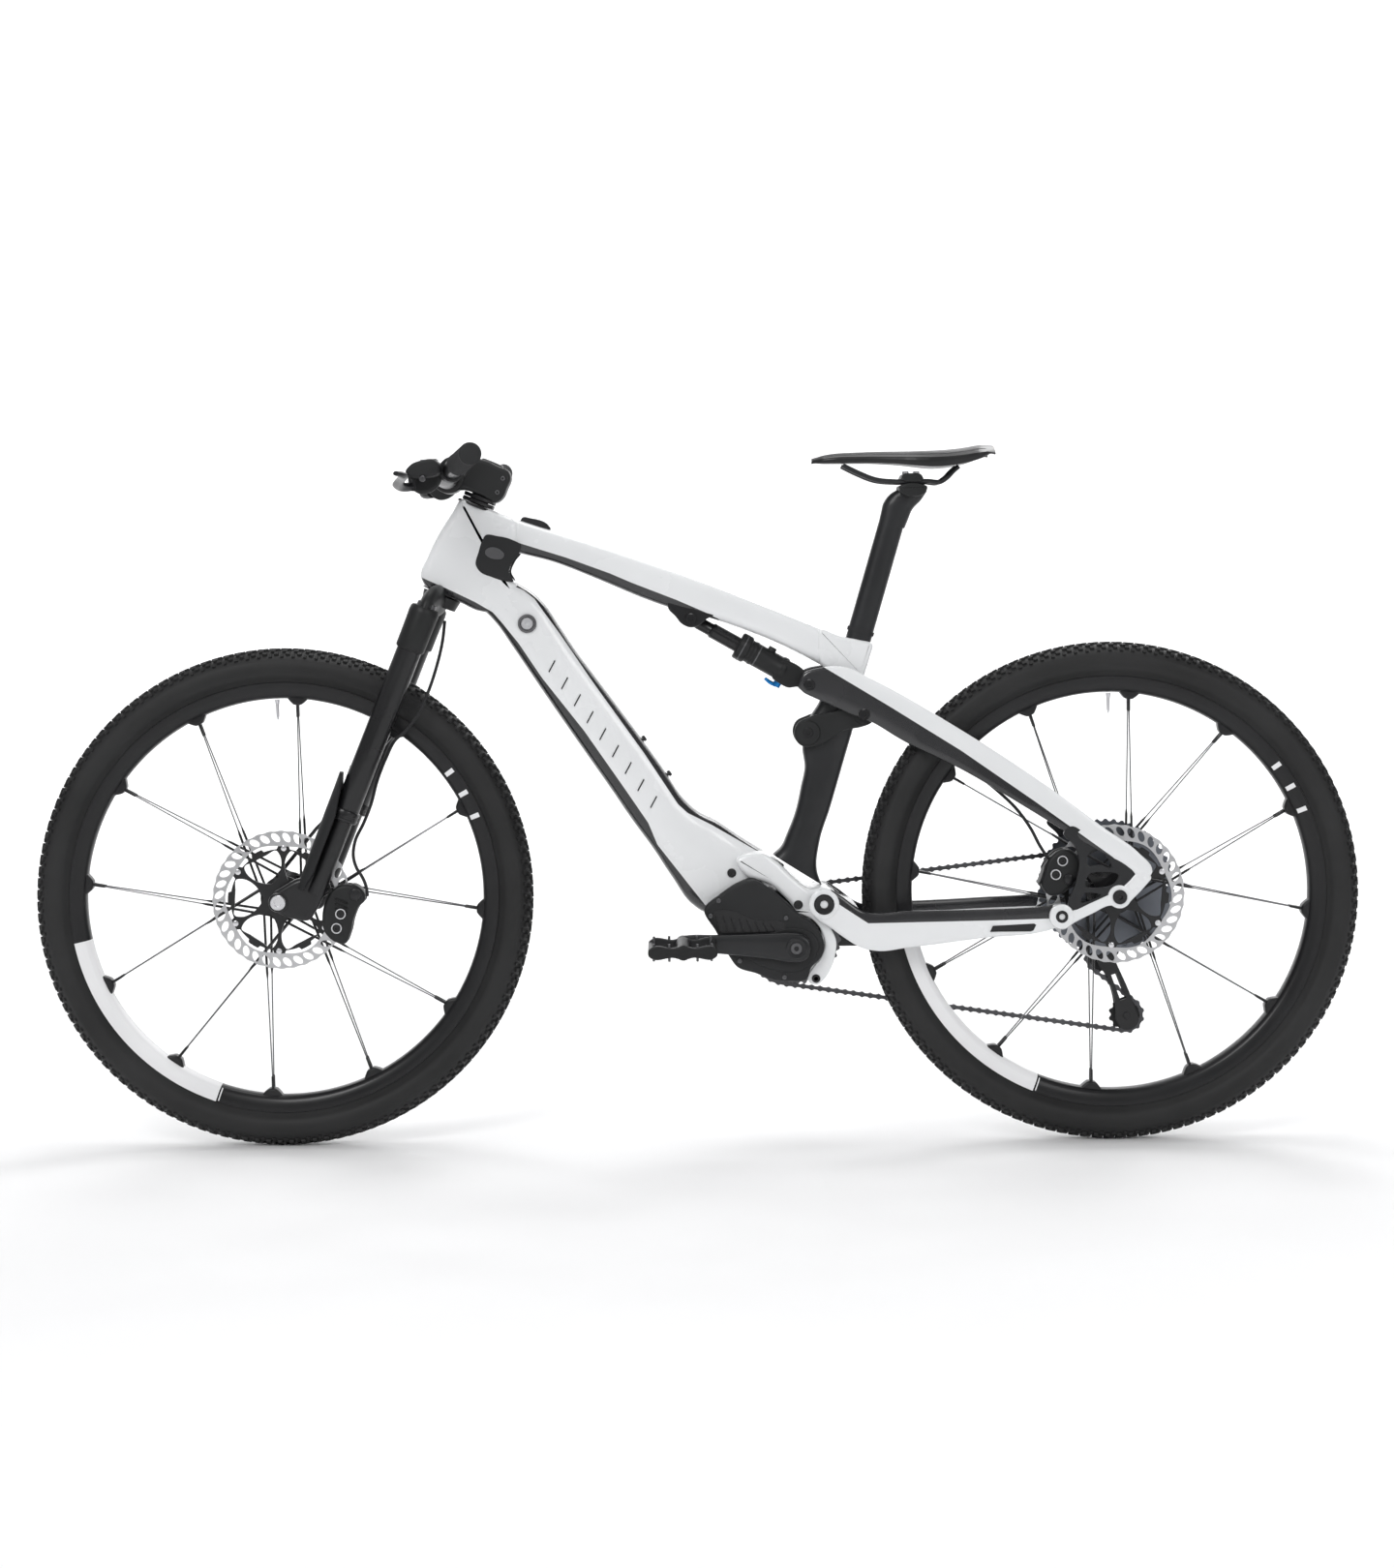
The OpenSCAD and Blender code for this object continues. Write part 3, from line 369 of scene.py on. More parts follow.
def lathe(profile: Pairs, centre: tuple[float, float], sides: int = 64, closed: bool = False) -> Shell:
    """A round part about an axis across the bike.

    Args:
        profile: radius and y of each point.
        centre: x and z of the axis.
        sides: points round.
        closed: whether the profile is a loop, as for a ring; otherwise its ends are capped.

    Returns:
        The shell. Formula: x = centre + r cos a, z = centre + r sin a, y as given.
    """
    p = np.asarray(profile, dtype=float)
    a = turns(sides)
    grid = np.stack([centre[0] + p[:, :1] * np.cos(a), np.repeat(p[:, 1:2], sides, axis=1),
                     centre[1] + p[:, :1] * np.sin(a)], -1)
    return woven(grid, closed, True, caps=not closed)


def disc(centre: tuple[float, float], radius: float, y0: float, y1: float, edge: float = 0.8,
         sides: int = 40) -> Shell:
    """A round plug across the bike, from y0 to y1, with a small rounded rim."""
    e = min(edge, (y1 - y0) / 2.01)
    return lathe([(radius - e, y0), (radius - 0.3 * e, y0 + 0.3 * e), (radius, y0 + e), (radius, y1 - e),
                  (radius - 0.3 * e, y1 - 0.3 * e), (radius - e, y1)], centre, sides)


def socket(centre: tuple[float, float], radius: float, y: float, depth: float = 2.5) -> Shell:
    """A bolt head towards the left side with a six-sided key hole sunk into it.

    Args:
        centre: x and z of the bolt.
        radius: radius of the head.
        y: the face's y; the bolt goes from there towards +y.
        depth: depth of the key hole.

    Returns:
        The head, a turned profile that steps in to the key hole.
    """
    r = radius
    return lathe([(r * 0.5, y + depth), (r * 0.5, y), (r * 0.82, y), (r, y + 0.18 * r), (r, y + depth + 2),
                  (r * 0.6, y + depth + 2)], centre, 24)


def piston_rings(places: tuple[tuple[float, float], ...], y: float) -> Shell:
    """Thin raised rings round a caliper's bolts, from the given y inwards."""
    ring = [(6.2, y), (7.6, y), (7.6, y + 4), (6.2, y + 4)]
    return join([lathe(ring, place, 30, closed=True) for place in places])


def slab(outline: Pairs, y0: float, y1: float, edge: float = 2.0, count: int = 120, smooth: bool = True) -> Shell:
    """A plate across the bike with rounded edges.

    Args:
        outline: its outline in x and z.
        y0: its left face.
        y1: its right face.
        edge: radius of the rounding.
        count: points on the outline.
        smooth: whether the outline is a smooth curve through its points.

    Returns:
        The shell. Formula: rings of the outline moved inwards by edge times (1 - sin) while y
        runs back from the face by edge times (1 - cos), with one more ring in the plane of the
        face, so that the face shades flat. One face closes each side.
    """
    if smooth:
        p = spline(outline, count, closed=True)
    else:
        q = np.asarray(outline, dtype=float)
        each = max(2, count // len(q))
        nxt = np.roll(q, -1, axis=0)
        p = (q[:, None] + (nxt - q)[:, None] * np.linspace(0, 1, each, endpoint=False)[None, :, None]).reshape(-1, 2)
    t = np.roll(p, -1, axis=0) - np.roll(p, 1, axis=0)
    t /= np.maximum(np.linalg.norm(t, axis=1), 1e-9)[:, None]
    area = 0.5 * np.sum(p[:, 0] * np.roll(p[:, 1], -1) - p[:, 1] * np.roll(p[:, 0], -1))
    inward = np.column_stack([-t[:, 1], t[:, 0]]) * (1 if area > 0 else -1)
    e = min(edge, (y1 - y0) / 2.01)
    a = np.linspace(0, np.pi / 2, 5)
    step_in, step_y = e * (1 - np.sin(a)), e * (1 - np.cos(a))
    face_in = e + min(0.6, 0.5 * e)
    step_in = np.concatenate([[face_in], step_in, step_in[::-1], [face_in]])
    step_y = np.concatenate([[y0], y0 + step_y, y1 - step_y[::-1], [y1]])
    xz = p[None] + inward[None] * step_in[:, None, None]
    yy = np.repeat(step_y[:, None], len(p), axis=1)
    return woven(np.stack([xz[..., 0], yy, xz[..., 1]], -1), False, True, caps=True)


def pierced(outer: np.ndarray, holes: list[np.ndarray], y0: float, y1: float) -> Shell:
    """A flat plate across the bike with holes through it.

    Args:
        outer: outline in x and z.
        holes: outlines of the holes.
        y0: its left face.
        y1: its right face.

    Returns:
        The shell: both faces in triangles, and a wall of four-sided faces along each outline.
    """
    loops = [outer] + holes
    flat = np.vstack(loops)
    n = len(flat)
    cut = tessellate_polygon([[Vector((a, b, 0)) for a, b in loop] for loop in loops])
    points = np.vstack([np.column_stack([flat[:, 0], np.full(n, y), flat[:, 1]]) for y in (y0, y1)])
    quads = []
    start = 0
    for loop in loops:
        k = np.arange(len(loop))
        nxt = (k + 1) % len(loop)
        quads.append(np.column_stack([start + k, start + nxt, start + nxt + n, start + k + n]))
        start += len(loop)
    walls = np.vstack(quads)
    fans = [list(f) for f in cut] + [[i + n for i in f][::-1] for f in cut]
    return Shell(points, walls, np.zeros((len(walls), 4, 2)), fans)


def polar(centre: tuple[float, float], radius: float | np.ndarray, angle: np.ndarray) -> np.ndarray:
    """Points in x and z at the given radii and angles about a centre."""
    return np.column_stack([centre[0] + radius * np.cos(angle), centre[1] + radius * np.sin(angle)])


def turns(count: int, start: float = 0.0) -> np.ndarray:
    """Even angles round a full turn, in radians."""
    return np.linspace(start, start + FULL_TURN, count, endpoint=False)


def circle(centre: tuple[float, float], radius: float, count: int) -> np.ndarray:
    """Points round a circle in x and z."""
    return polar(centre, radius, turns(count))


def ring_of_holes(centre: tuple[float, float], reach: float, radius: float, count: int, sides: int,
                  start: float = 0.0) -> list[np.ndarray]:
    """Outlines of round holes set evenly about a centre.

    Args:
        centre: x and z of the middle of the ring.
        reach: distance of each hole from there.
        radius: radius of a hole.
        count: how many holes.
        sides: points round each hole.
        start: angle of the first hole in radians.

    Returns:
        One outline per hole.
    """
    return [circle((x, z), radius, sides) for x, z in polar(centre, reach, turns(count, start))]


def toothed(centre: tuple[float, float], teeth: int, phase: float = 0.0, deep: float = 4.2) -> np.ndarray:
    """Outline of a sprocket.

    Args:
        centre: x and z of its axis.
        teeth: how many teeth.
        phase: turn in degrees.
        deep: height of a tooth from root to tip.

    Returns:
        Points in x and z. Formula: pitch radius plus half the tooth height times a cosine of
        teeth times the angle, with its top flattened by a tanh.
    """
    a = turns(teeth * 8)
    r = PITCH * teeth / FULL_TURN - 0.6 + deep / 2 * np.tanh(1.6 * np.cos(teeth * a))
    return polar(centre, r, a + math.radians(phase))


# ---------------------------------------------------------------- finishes


MASK_BLUR = 0.0003


class Texture(Enum):
    """How a finish breaks up its surface."""

    GRAIN = "grain"
    WEAVE = "weave"
    BRUSHED = "brushed"
    PEBBLED = "pebbled"
    RIBBED = "ribbed"


@dataclass(frozen=True)
class PaintLine:
    """A masking line between the two colours of a paint job, as points in x and z."""

    points: tuple[tuple[float, float], ...]
    above: bool = True


@dataclass(frozen=True)
class Finish:
    """One surface finish, made of procedural nodes on Object coordinates.

    Each mask keeps the first colour on its own side of its line; elsewhere the second shows.
    """

    name: str
    slot: str
    colour: tuple[float, float, float]
    rough: float = 0.4
    metal: float = 0.0
    texture: Texture = Texture.GRAIN
    scale: float = 400.0
    bump: float = 0.05
    tint: float = 0.12
    coat: float = 0.0
    second: tuple[float, float, float] = (0.02, 0.02, 0.022)
    masks: tuple[PaintLine, ...] = ()

    def material(self) -> bpy.types.Material:
        """Make the material the first time, and hand out the same one after that.

        Returns:
            The material.
        """
        known = bpy.data.materials.get(self.name)
        return known if known else self._make()

    @staticmethod
    def _node(tree: bpy.types.NodeTree, kind: str, **values: float | tuple[float, ...]) -> bpy.types.Node:
        """A new shader node.

        Args:
            tree: the node tree.
            kind: the node's type, without its prefix.
            values: inputs to set, by name, with an underscore for a space.

        Returns:
            The node.
        """
        node = tree.nodes.new(f"ShaderNode{kind}")
        for name, value in values.items():
            node.inputs[name.replace("_", " ")].default_value = value
        return node

    def _make(self) -> bpy.types.Material:
        """Build the nodes: colour variation, roughness variation, relief, and masks."""
        material = bpy.data.materials.new(self.name)
        material.use_nodes = True
        tree = material.node_tree
        shader = tree.nodes["Principled BSDF"]
        for name, value in (("Metallic", self.metal), ("Coat Weight", self.coat), ("Coat Roughness", 0.08),
                            ("Specular IOR Level", 0.5 if max(self.colour) > 0.1 else 0.34)):
            shader.inputs[name].default_value = value
        place = self._node(tree, "TexCoord")
        cloud = self._node(tree, "TexNoise", Scale=9.0, Detail=5.0)
        tree.links.new(place.outputs["Object"], cloud.inputs["Vector"])
        shade = self._blend(tree, cloud.outputs["Fac"], self._lighter(-self.tint), self._lighter(self.tint))
        if self.masks:
            dark = self._blend(tree, cloud.outputs["Fac"], self.second, tuple(1.5 * c for c in self.second))
            shade = self._mix(tree, self._mask(tree, place), dark, shade)
        tree.links.new(shade, shader.inputs["Base Color"])
        fine, relief = self._relief(tree, place)
        spread = self._node(tree, "MapRange", From_Min=0.25, From_Max=0.75, To_Min=max(self.rough - 0.07, 0.04),
                            To_Max=min(self.rough + 0.09, 1.0))
        tree.links.new(cloud.outputs["Fac"], spread.inputs["Value"])
        tree.links.new(spread.outputs["Result"], shader.inputs["Roughness"])
        bump = self._node(tree, "Bump", Strength=self.bump, Distance=relief)
        tree.links.new(fine, bump.inputs["Height"])
        tree.links.new(bump.outputs["Normal"], shader.inputs["Normal"])
        return material

    def _lighter(self, amount: float) -> tuple[float, float, float]:
        """The main colour made lighter or darker by a part of itself."""
        return tuple(min(max(c * (1 + amount), 0.0), 1.0) for c in self.colour)

    @staticmethod
    def _blend(tree: bpy.types.NodeTree, factor: bpy.types.NodeSocket, low: tuple,
               high: tuple) -> bpy.types.NodeSocket:
        """A colour that follows a factor between two colours.

        Args:
            tree: the node tree.
            factor: the socket that drives the colour.
            low: the colour for a low factor.
            high: the colour for a high one.

        Returns:
            The colour's socket.
        """
        ramp = tree.nodes.new("ShaderNodeValToRGB")
        for stop, position, colour in zip(ramp.color_ramp.elements, (0.3, 0.7), (low, high)):
            stop.position, stop.color = position, (*colour, 1.0)
        tree.links.new(factor, ramp.inputs["Fac"])
        return ramp.outputs["Color"]

    @staticmethod
    def _mix(tree: bpy.types.NodeTree, factor: bpy.types.NodeSocket, a: bpy.types.NodeSocket,
             b: bpy.types.NodeSocket) -> bpy.types.NodeSocket:
        """Mix two colours by a factor.

        Args:
            tree: the node tree.
            factor: 0 gives the first colour, 1 the second.
            a: the first colour.
            b: the second colour.

        Returns:
            The mixed colour's socket.
        """
        node = tree.nodes.new("ShaderNodeMix")
        node.data_type = "RGBA"
        tree.links.new(factor, node.inputs[0])
        tree.links.new(a, node.inputs[6])
        tree.links.new(b, node.inputs[7])
        return node.outputs[2]

    def _mask(self, tree: bpy.types.NodeTree, place: bpy.types.Node) -> bpy.types.NodeSocket:
        """One where every masking line lets the main colour show, zero elsewhere.

        Args:
            tree: the node tree.
            place: the Texture Coordinate node.

        Returns:
            The product over the lines of a sharp step of z minus the line's height at x.
        """
        split = self._node(tree, "SeparateXYZ")
        tree.links.new(place.outputs["Object"], split.inputs["Vector"])
        result = None
        for line in self.masks:
            x0, x1 = line.points[0][0], line.points[-1][0]
            to_unit = self._node(tree, "MapRange", From_Min=x0 * MM, From_Max=x1 * MM)
            tree.links.new(split.outputs["X"], to_unit.inputs["Value"])
            curve = self._node(tree, "FloatCurve")
            points = curve.mapping.curves[0].points
            spots = [((x - x0) / (x1 - x0), z * MM) for x, z in line.points]
            points[0].location, points[1].location = spots[0], spots[-1]
            for spot in spots[1:-1]:
                points.new(*spot)
            for point in points:
                point.handle_type = "VECTOR"
            curve.mapping.update()
            tree.links.new(to_unit.outputs["Result"], curve.inputs["Value"])
            gap = self._node(tree, "Math")
            gap.operation = "SUBTRACT"
            upper, lower = (split.outputs["Z"], curve.outputs["Value"])
            tree.links.new(upper if line.above else lower, gap.inputs[0])
            tree.links.new(lower if line.above else upper, gap.inputs[1])
            step = self._node(tree, "MapRange", From_Min=-MASK_BLUR, From_Max=MASK_BLUR)
            tree.links.new(gap.outputs["Value"], step.inputs["Value"])
            if result is None:
                result = step.outputs["Result"]
            else:
                both = self._node(tree, "Math")
                both.operation = "MULTIPLY"
                tree.links.new(result, both.inputs[0])
                tree.links.new(step.outputs["Result"], both.inputs[1])
                result = both.outputs["Value"]
        return result

    def _relief(self, tree: bpy.types.NodeTree, place: bpy.types.Node) -> tuple[bpy.types.NodeSocket, float]:
        """Build the height pattern of the texture.

        Args:
            tree: the node tree.
            place: the Texture Coordinate node.

        Returns:
            The height's socket, and the pattern's depth in metres.
        """
        if self.texture is Texture.PEBBLED:
            node = self._node(tree, "TexVoronoi", Scale=self.scale)
            tree.links.new(place.outputs["Object"], node.inputs["Vector"])
            return node.outputs["Distance"], 0.0006
        if self.texture in (Texture.WEAVE, Texture.RIBBED):
            node = self._node(tree, "TexWave", Scale=self.scale, Distortion=0.4)
            node.bands_direction = "DIAGONAL" if self.texture is Texture.WEAVE else "X"
            source = place.outputs["Object"] if self.texture is Texture.WEAVE else place.outputs["UV"]
            tree.links.new(source, node.inputs["Vector"])
            return node.outputs["Fac"], 0.0003
        node = self._node(tree, "TexNoise", Scale=self.scale, Detail=3.0)
        if self.texture is Texture.BRUSHED:
            stretch = self._node(tree, "Mapping", Scale=(1.0, 0.05, 14.0))
            tree.links.new(place.outputs["Object"], stretch.inputs["Vector"])
            tree.links.new(stretch.outputs["Vector"], node.inputs["Vector"])
        else:
            tree.links.new(place.outputs["Object"], node.inputs["Vector"])
        return node.outputs["Fac"], 0.0004


WHITE = (0.79, 0.80, 0.81)
DARK = (0.010, 0.010, 0.0115)


def painted(name: str, *lines: PaintLine) -> Finish:
    """The glossy white frame paint, masked to black beyond the given lines."""
    return Finish(name, "white_frame", WHITE, 0.24, coat=0.6, scale=900, bump=0.01, tint=0.015, second=DARK,
                  masks=lines)


LOW_EDGE = PaintLine(((-420, 846), (-403, 839), (-365, 822), (-324, 802), (-299, 787), (-285, 771), (-261, 741),
                      (-227, 690), (-165, 611), (-103, 521), (-72, 475), (-59, 443), (11, 353), (60, 300), (240, 200)))
WHITE_PAINT = painted("white_paint")
TOP_PAINT = painted("top_tube_paint", PaintLine((
    (-340, 904), (-313, 902), (-290, 899), (-257, 888), (-191, 867), (-126, 843), (-94, 829), (-28, 803), (13, 785),
    (34, 774), (60, 745), (230, 640))))
HEAD_PAINT = painted("head_paint", LOW_EDGE)
DOWN_PAINT = painted("down_tube_paint", LOW_EDGE, PaintLine((
    (-420, 900), (-300, 845), (-280, 831), (-253, 819), (-237, 806), (-226, 790), (-202, 757), (-157, 690), (-143, 670),
    (-77, 577), (-28, 502), (-14, 489), (23, 470), (118, 414), (167, 373), (240, 340)), above=False))
STAY_PAINT = painted("seatstay_paint", PaintLine((
    (140, 733), (187, 703), (281, 646), (386, 580), (490, 507), (600, 427), (622, 408), (630, 396), (700, 200))))
CHAINSTAY_PAINT = painted("chainstay_paint", PaintLine((
    (140, 390), (192, 382), (204, 358), (248, 329), (512, 336), (517, 360), (560, 370)), above=False))
CARBON = Finish("satin_carbon", "carbon", (0.012, 0.0125, 0.014), 0.36, texture=Texture.WEAVE, scale=420, bump=0.04,
                tint=0.25, coat=0.15)
CAST_BLACK = Finish("cast_black", "black_metal", (0.010, 0.0105, 0.011), 0.42, scale=700,
                    bump=0.12, tint=0.3)
SATIN_BLACK = Finish("satin_black", "black_metal", (0.008, 0.008, 0.009), 0.3, scale=900,
                     bump=0.03, tint=0.2, coat=0.2)
MATT_PLASTIC = Finish("matt_plastic", "black_plastic", (0.014, 0.0145, 0.0155), 0.55, texture=Texture.PEBBLED,
                      scale=1600, bump=0.12, tint=0.2)
TYRE_RUBBER = Finish("tyre_rubber", "tyre", (0.016, 0.016, 0.0165), 0.58, scale=500, bump=0.25,
                     tint=0.35)
RIM_CARBON = Finish("rim_carbon", "rim", (0.007, 0.007, 0.008), 0.34, texture=Texture.WEAVE, scale=300, bump=0.03,
                    tint=0.25, coat=0.1)
DECAL = Finish("white_band", "rim", (0.82, 0.82, 0.83), 0.4, scale=800, bump=0.01, tint=0.02)
BRUSHED_STEEL = Finish("brushed_steel", "steel", (0.55, 0.55, 0.56), 0.3, 1.0, Texture.BRUSHED, 300, 0.15, 0.12)
SPOKE_STEEL = Finish("spoke_steel", "steel", (0.10, 0.10, 0.105), 0.3, 0.9, Texture.BRUSHED, 300, 0.05, 0.15)
COG_STEEL = Finish("cog_steel", "steel", (0.16, 0.17, 0.19), 0.32, 1.0, Texture.BRUSHED, 260, 0.1, 0.2)
CHAIN_STEEL = Finish("chain_steel", "steel", (0.09, 0.09, 0.095), 0.34, 1.0, Texture.GRAIN, 600, 0.1, 0.25)
SILVER = Finish("satin_silver", "silver", (0.72, 0.72, 0.74), 0.26, 1.0, Texture.GRAIN, 900, 0.04, 0.06)
GREY_METAL = Finish("grey_metal", "black_metal", (0.12, 0.12, 0.125), 0.35, 0.7, Texture.GRAIN, 800, 0.06, 0.15)
RUBBER = Finish("soft_rubber", "rubber", (0.02, 0.02, 0.0215), 0.7, texture=Texture.PEBBLED, scale=1100, bump=0.3,
                tint=0.2)
LEVER_BLUE = Finish("lever_blue", "blue", (0.01, 0.20, 0.55), 0.25, 0.6, Texture.GRAIN, 900, 0.04, 0.08)
SADDLE_SKIN = Finish("saddle_skin", "saddle", (0.010, 0.010, 0.0105), 0.34, texture=Texture.PEBBLED, scale=1300,
                     bump=0.10, tint=0.2, coat=0.1)
SCREEN = Finish("display_glass", "screen", (0.012, 0.012, 0.014), 0.12, scale=900, bump=0.0, tint=0.1, coat=0.8)


# ---------------------------------------------------------------- wheels


@dataclass
class Wheel:
    """A spoked wheel with its tyre, rim, spokes, hub and brake disc, dressed about its own axle."""

    side: str
    axle: tuple[float, float]
    body: str
    pad_start: float
    band: tuple[float, float]
    bars: tuple[float, ...]
    disc_y: float
    disc_phase: float
    left: float
    right: float
    half: float
    bore: float
    tyre_r: float = 368.0
    pads: int = 12

    def make(self) -> None:
        """Make every piece of the wheel."""
        self.tyre()
        self.rim()
        self.spokes()
        self.hub()
        self.brake_disc()

    def tyre(self) -> None:
        """Casing turned from its section, and tread blocks set on it in staggered rows.

        A block at angle a and side angle f stands at mid + r (cos f outwards + sin f across).
        """
        mid, half = self.tyre_r - 28.0, 28.0
        outer = [(317.2, -15.5), (319, -17.5), (324, -20.8), (325, -22.2), (331, -26.2), (340, -27.6), (348, -26.0),
                 (350, -25.4), (355.5, -20.5), (361, -13), (363.6, -6.5), (364.4, 0)]
        inner = [(361, 0), (358, -10), (350, -20), (340, -23.6), (328, -20), (317.2, -12.4)]
        loop = outer + [(r, -y) for r, y in outer[-2::-1]] + [(r, -y) for r, y in inner[:0:-1]] + inner
        casing = lathe(loop, self.axle, 200, closed=True)
        block = self._block()
        axes, places = [], []
        rows = 132
        for across, shift, size in ((3.6, 0.0, (4.6, 2.9)), (-3.6, 0.5, (4.6, 2.9)), (11.2, 0.3, (4.2, 2.9)),
                                    (-11.2, 0.8, (4.2, 2.9)), (18.6, 0.0, (3.6, 3.0)), (-18.6, 0.5, (3.6, 3.0)),
                                    (24.4, 0.5, (2.8, 2.6)), (-24.4, 0.0, (2.8, 2.6))):
            a = FULL_TURN * (np.arange(rows) + shift) / rows
            f = np.full(rows, across / half)
            out = np.column_stack([np.cos(f) * np.cos(a), np.sin(f), np.cos(f) * np.sin(a)])
            lean = np.column_stack([-np.sin(f) * np.cos(a), np.cos(f), -np.sin(f) * np.sin(a)])
            round_ = np.column_stack([-np.sin(a), np.zeros(rows), np.cos(a)])
            axes.append(np.stack([round_ * size[0], lean * size[1], out], axis=1))
            base = np.column_stack([self.axle[0] + mid * np.cos(a), np.zeros(rows), self.axle[1] + mid * np.sin(a)])
            places.append(base + out * (half - 4.4))
        tread = repeat(block, np.vstack(axes), np.vstack(places))
        join([casing, tread]).build(f"{self.side}_tyre_with_tread", TYRE_RUBBER, self.body, f"{self.side}_tyre",
                                    sharp=28)

    @staticmethod
    def _block() -> Shell:
        """A tread block of unit half size, wider at its foot and 4.2 mm high."""
        foot, top = 1.0, 0.8
        p = np.array([[sx * k, sy * k, z] for z, k in ((0.0, foot), (4.2, top))
                      for sx, sy in ((-1, -1), (1, -1), (1, 1), (-1, 1))], dtype=float)
        quads = np.array([[0, 3, 2, 1], [4, 5, 6, 7], [0, 1, 5, 4], [1, 2, 6, 5], [2, 3, 7, 6], [3, 0, 4, 7]])
        return Shell(p, quads, np.zeros((6, 4, 2)))

    def rim(self) -> None:
        """Rim turned from its section, a raised pad at each pair of spokes, valve and printed bands."""
        half = [(294, -7), (296, -11.5), (301, -15), (310, -16.6), (317.4, -17), (317.8, -15.8), (317, -12.2),
                (311, -10.5)]
        loop = half + [(309.5, 0)] + [(r, -y) for r, y in half[::-1]] + [(293.2, 0)]
        hoop = lathe(loop, self.axle, 240, closed=True)
        x, z = self.axle
        side = [(299, -21), (293.6, -15), (288, -9.5), (284.6, -5)]
        edge = side + [(284.4, 0)] + [(u, -v) for u, v in side[::-1]] + [(300, 0)]
        pad = slab([(x + u, z + v) for u, v in edge], -9.5, 9.5, 3.5, 40)
        pads = pad.around(self.pads, self.axle, self.pad_start)
        join([hoop, pads]).build(f"{self.side}_rim_shell", RIM_CARBON, self.body, f"{self.side}_rim")
        valve = pipe([(x + d, 0, z) for d in (262, 266, 266.1, 285, 285.1, 292)], [1.2, 1.2, 2.2, 2.6, 3.0, 3.6],
                     14).turned(92 if self.side == "front" else 90, self.axle)
        valve.build(f"{self.side}_valve_stem", SILVER, self.body)
        strips = []
        for side in (-1, 1):
            start, end = self.band
            pieces = [(start, end, 293.1, 317.3), (end + 0.5, end + 0.8, 296.4, 315.4)]
            pieces += [(b, b + 1.3, 299.0, 313.0) for b in self.bars]
            for a0, a1, r0, r1 in pieces:
                strips.append(self._printed(a0, a1, r0, r1, side))
        join(strips).build(f"{self.side}_rim_bands", DECAL, self.body, closed=False)

    def _printed(self, a0: float, a1: float, r0: float, r1: float, side: int) -> Shell:
        """A printed patch on the rim's side: a grid of angle and radius laid on the rim's section.

        Args:
            a0: its first angle in degrees.
            a1: its last angle.
            r0: its inner radius.
            r1: its outer radius.
            side: -1 for the left side, 1 for the right.

        Returns:
            The patch, 0.35 mm off the rim.
        """
        a = np.radians(np.linspace(a0, a1, max(2, int(abs(a1 - a0) * 1.5))))
        r = np.linspace(r0, r1, 28 if r1 - r0 > 20 else 6)
        y = np.interp(r, [293.1, 294, 296, 301, 310, 317.4], [0, 7, 11.5, 15, 16.6, 17.0]) + 0.35
        r = r - 0.2 * (y < 12)
        grid = np.stack([self.axle[0] + np.outer(np.cos(a), r), np.tile(side * y, (len(a), 1)),
                         self.axle[1] + np.outer(np.sin(a), r)], -1)
        shell = woven(grid, False, False)
        if side > 0:
            shell.quads, shell.uv = shell.quads[:, ::-1], shell.uv[:, ::-1]
        return shell

    def spokes(self) -> None:
        """Straight spokes from each pad to both flanges, thick and black near the hub, with nipples."""
        hub_reach, rim_reach, cross, stagger = 29.0, 287.0, 70.0, 8.6
        x, z = self.axle
        stations = np.array([0.0, 0.37, 0.40, 0.385, 0.93, 0.925, 0.93, 0.99])[:, None]
        butts, wires = [], []
        for i in range(self.pads):
            a = math.radians(self.pad_start + 360 / self.pads * i)
            b = a + math.radians(-cross if i % 2 else cross)
            for side, flange in ((-1, self.left), (1, self.right)):
                y0 = side * (flange + stagger * (i % 2))
                tip = np.array([x + rim_reach * math.cos(a), side * 4.0, z + rim_reach * math.sin(a)])
                seat = np.array([x + hub_reach * math.cos(b), y0, z + hub_reach * math.sin(b)])
                line = seat + stations * (tip - seat)
                butts.append(pipe(line[:3], [1.9, 1.9, 0.9], 10))
                wires.append(pipe(line[3:5], 0.95, 8))
                butts.append(pipe(line[5:], [1.0, 1.8, 2.2], 10))
        join(butts).build(f"{self.side}_spoke_butts", SATIN_BLACK, self.body, f"{self.side}_spokes")
        join(wires).build(f"{self.side}_spoke_wires", SPOKE_STEEL, self.body)

    def hub(self) -> None:
        """Hub shell turned from its section: two flanges, a waisted barrel and end caps."""
        ends = []
        for flange, side in ((self.left + 2.2, -1), (self.right + 2.2, 1)):
            ends.append([(r, side * (flange + d)) for r, d in ((17.5, -9), (23, -3), (31, -1), (33, 0), (33, 2),
                                                               (32, 3), (19, 7.5), (14, 9))]
                        + [(13.5, side * (self.half - 1)), (12.5, side * self.half), (self.bore, side * self.half)])
        loop = ends[0][::-1] + [(16.5, 0)] + ends[1]
        lathe(loop, self.axle, 56, closed=True).build(f"{self.side}_hub_shell", SATIN_BLACK, self.body,
                                                      f"{self.side}_hub")

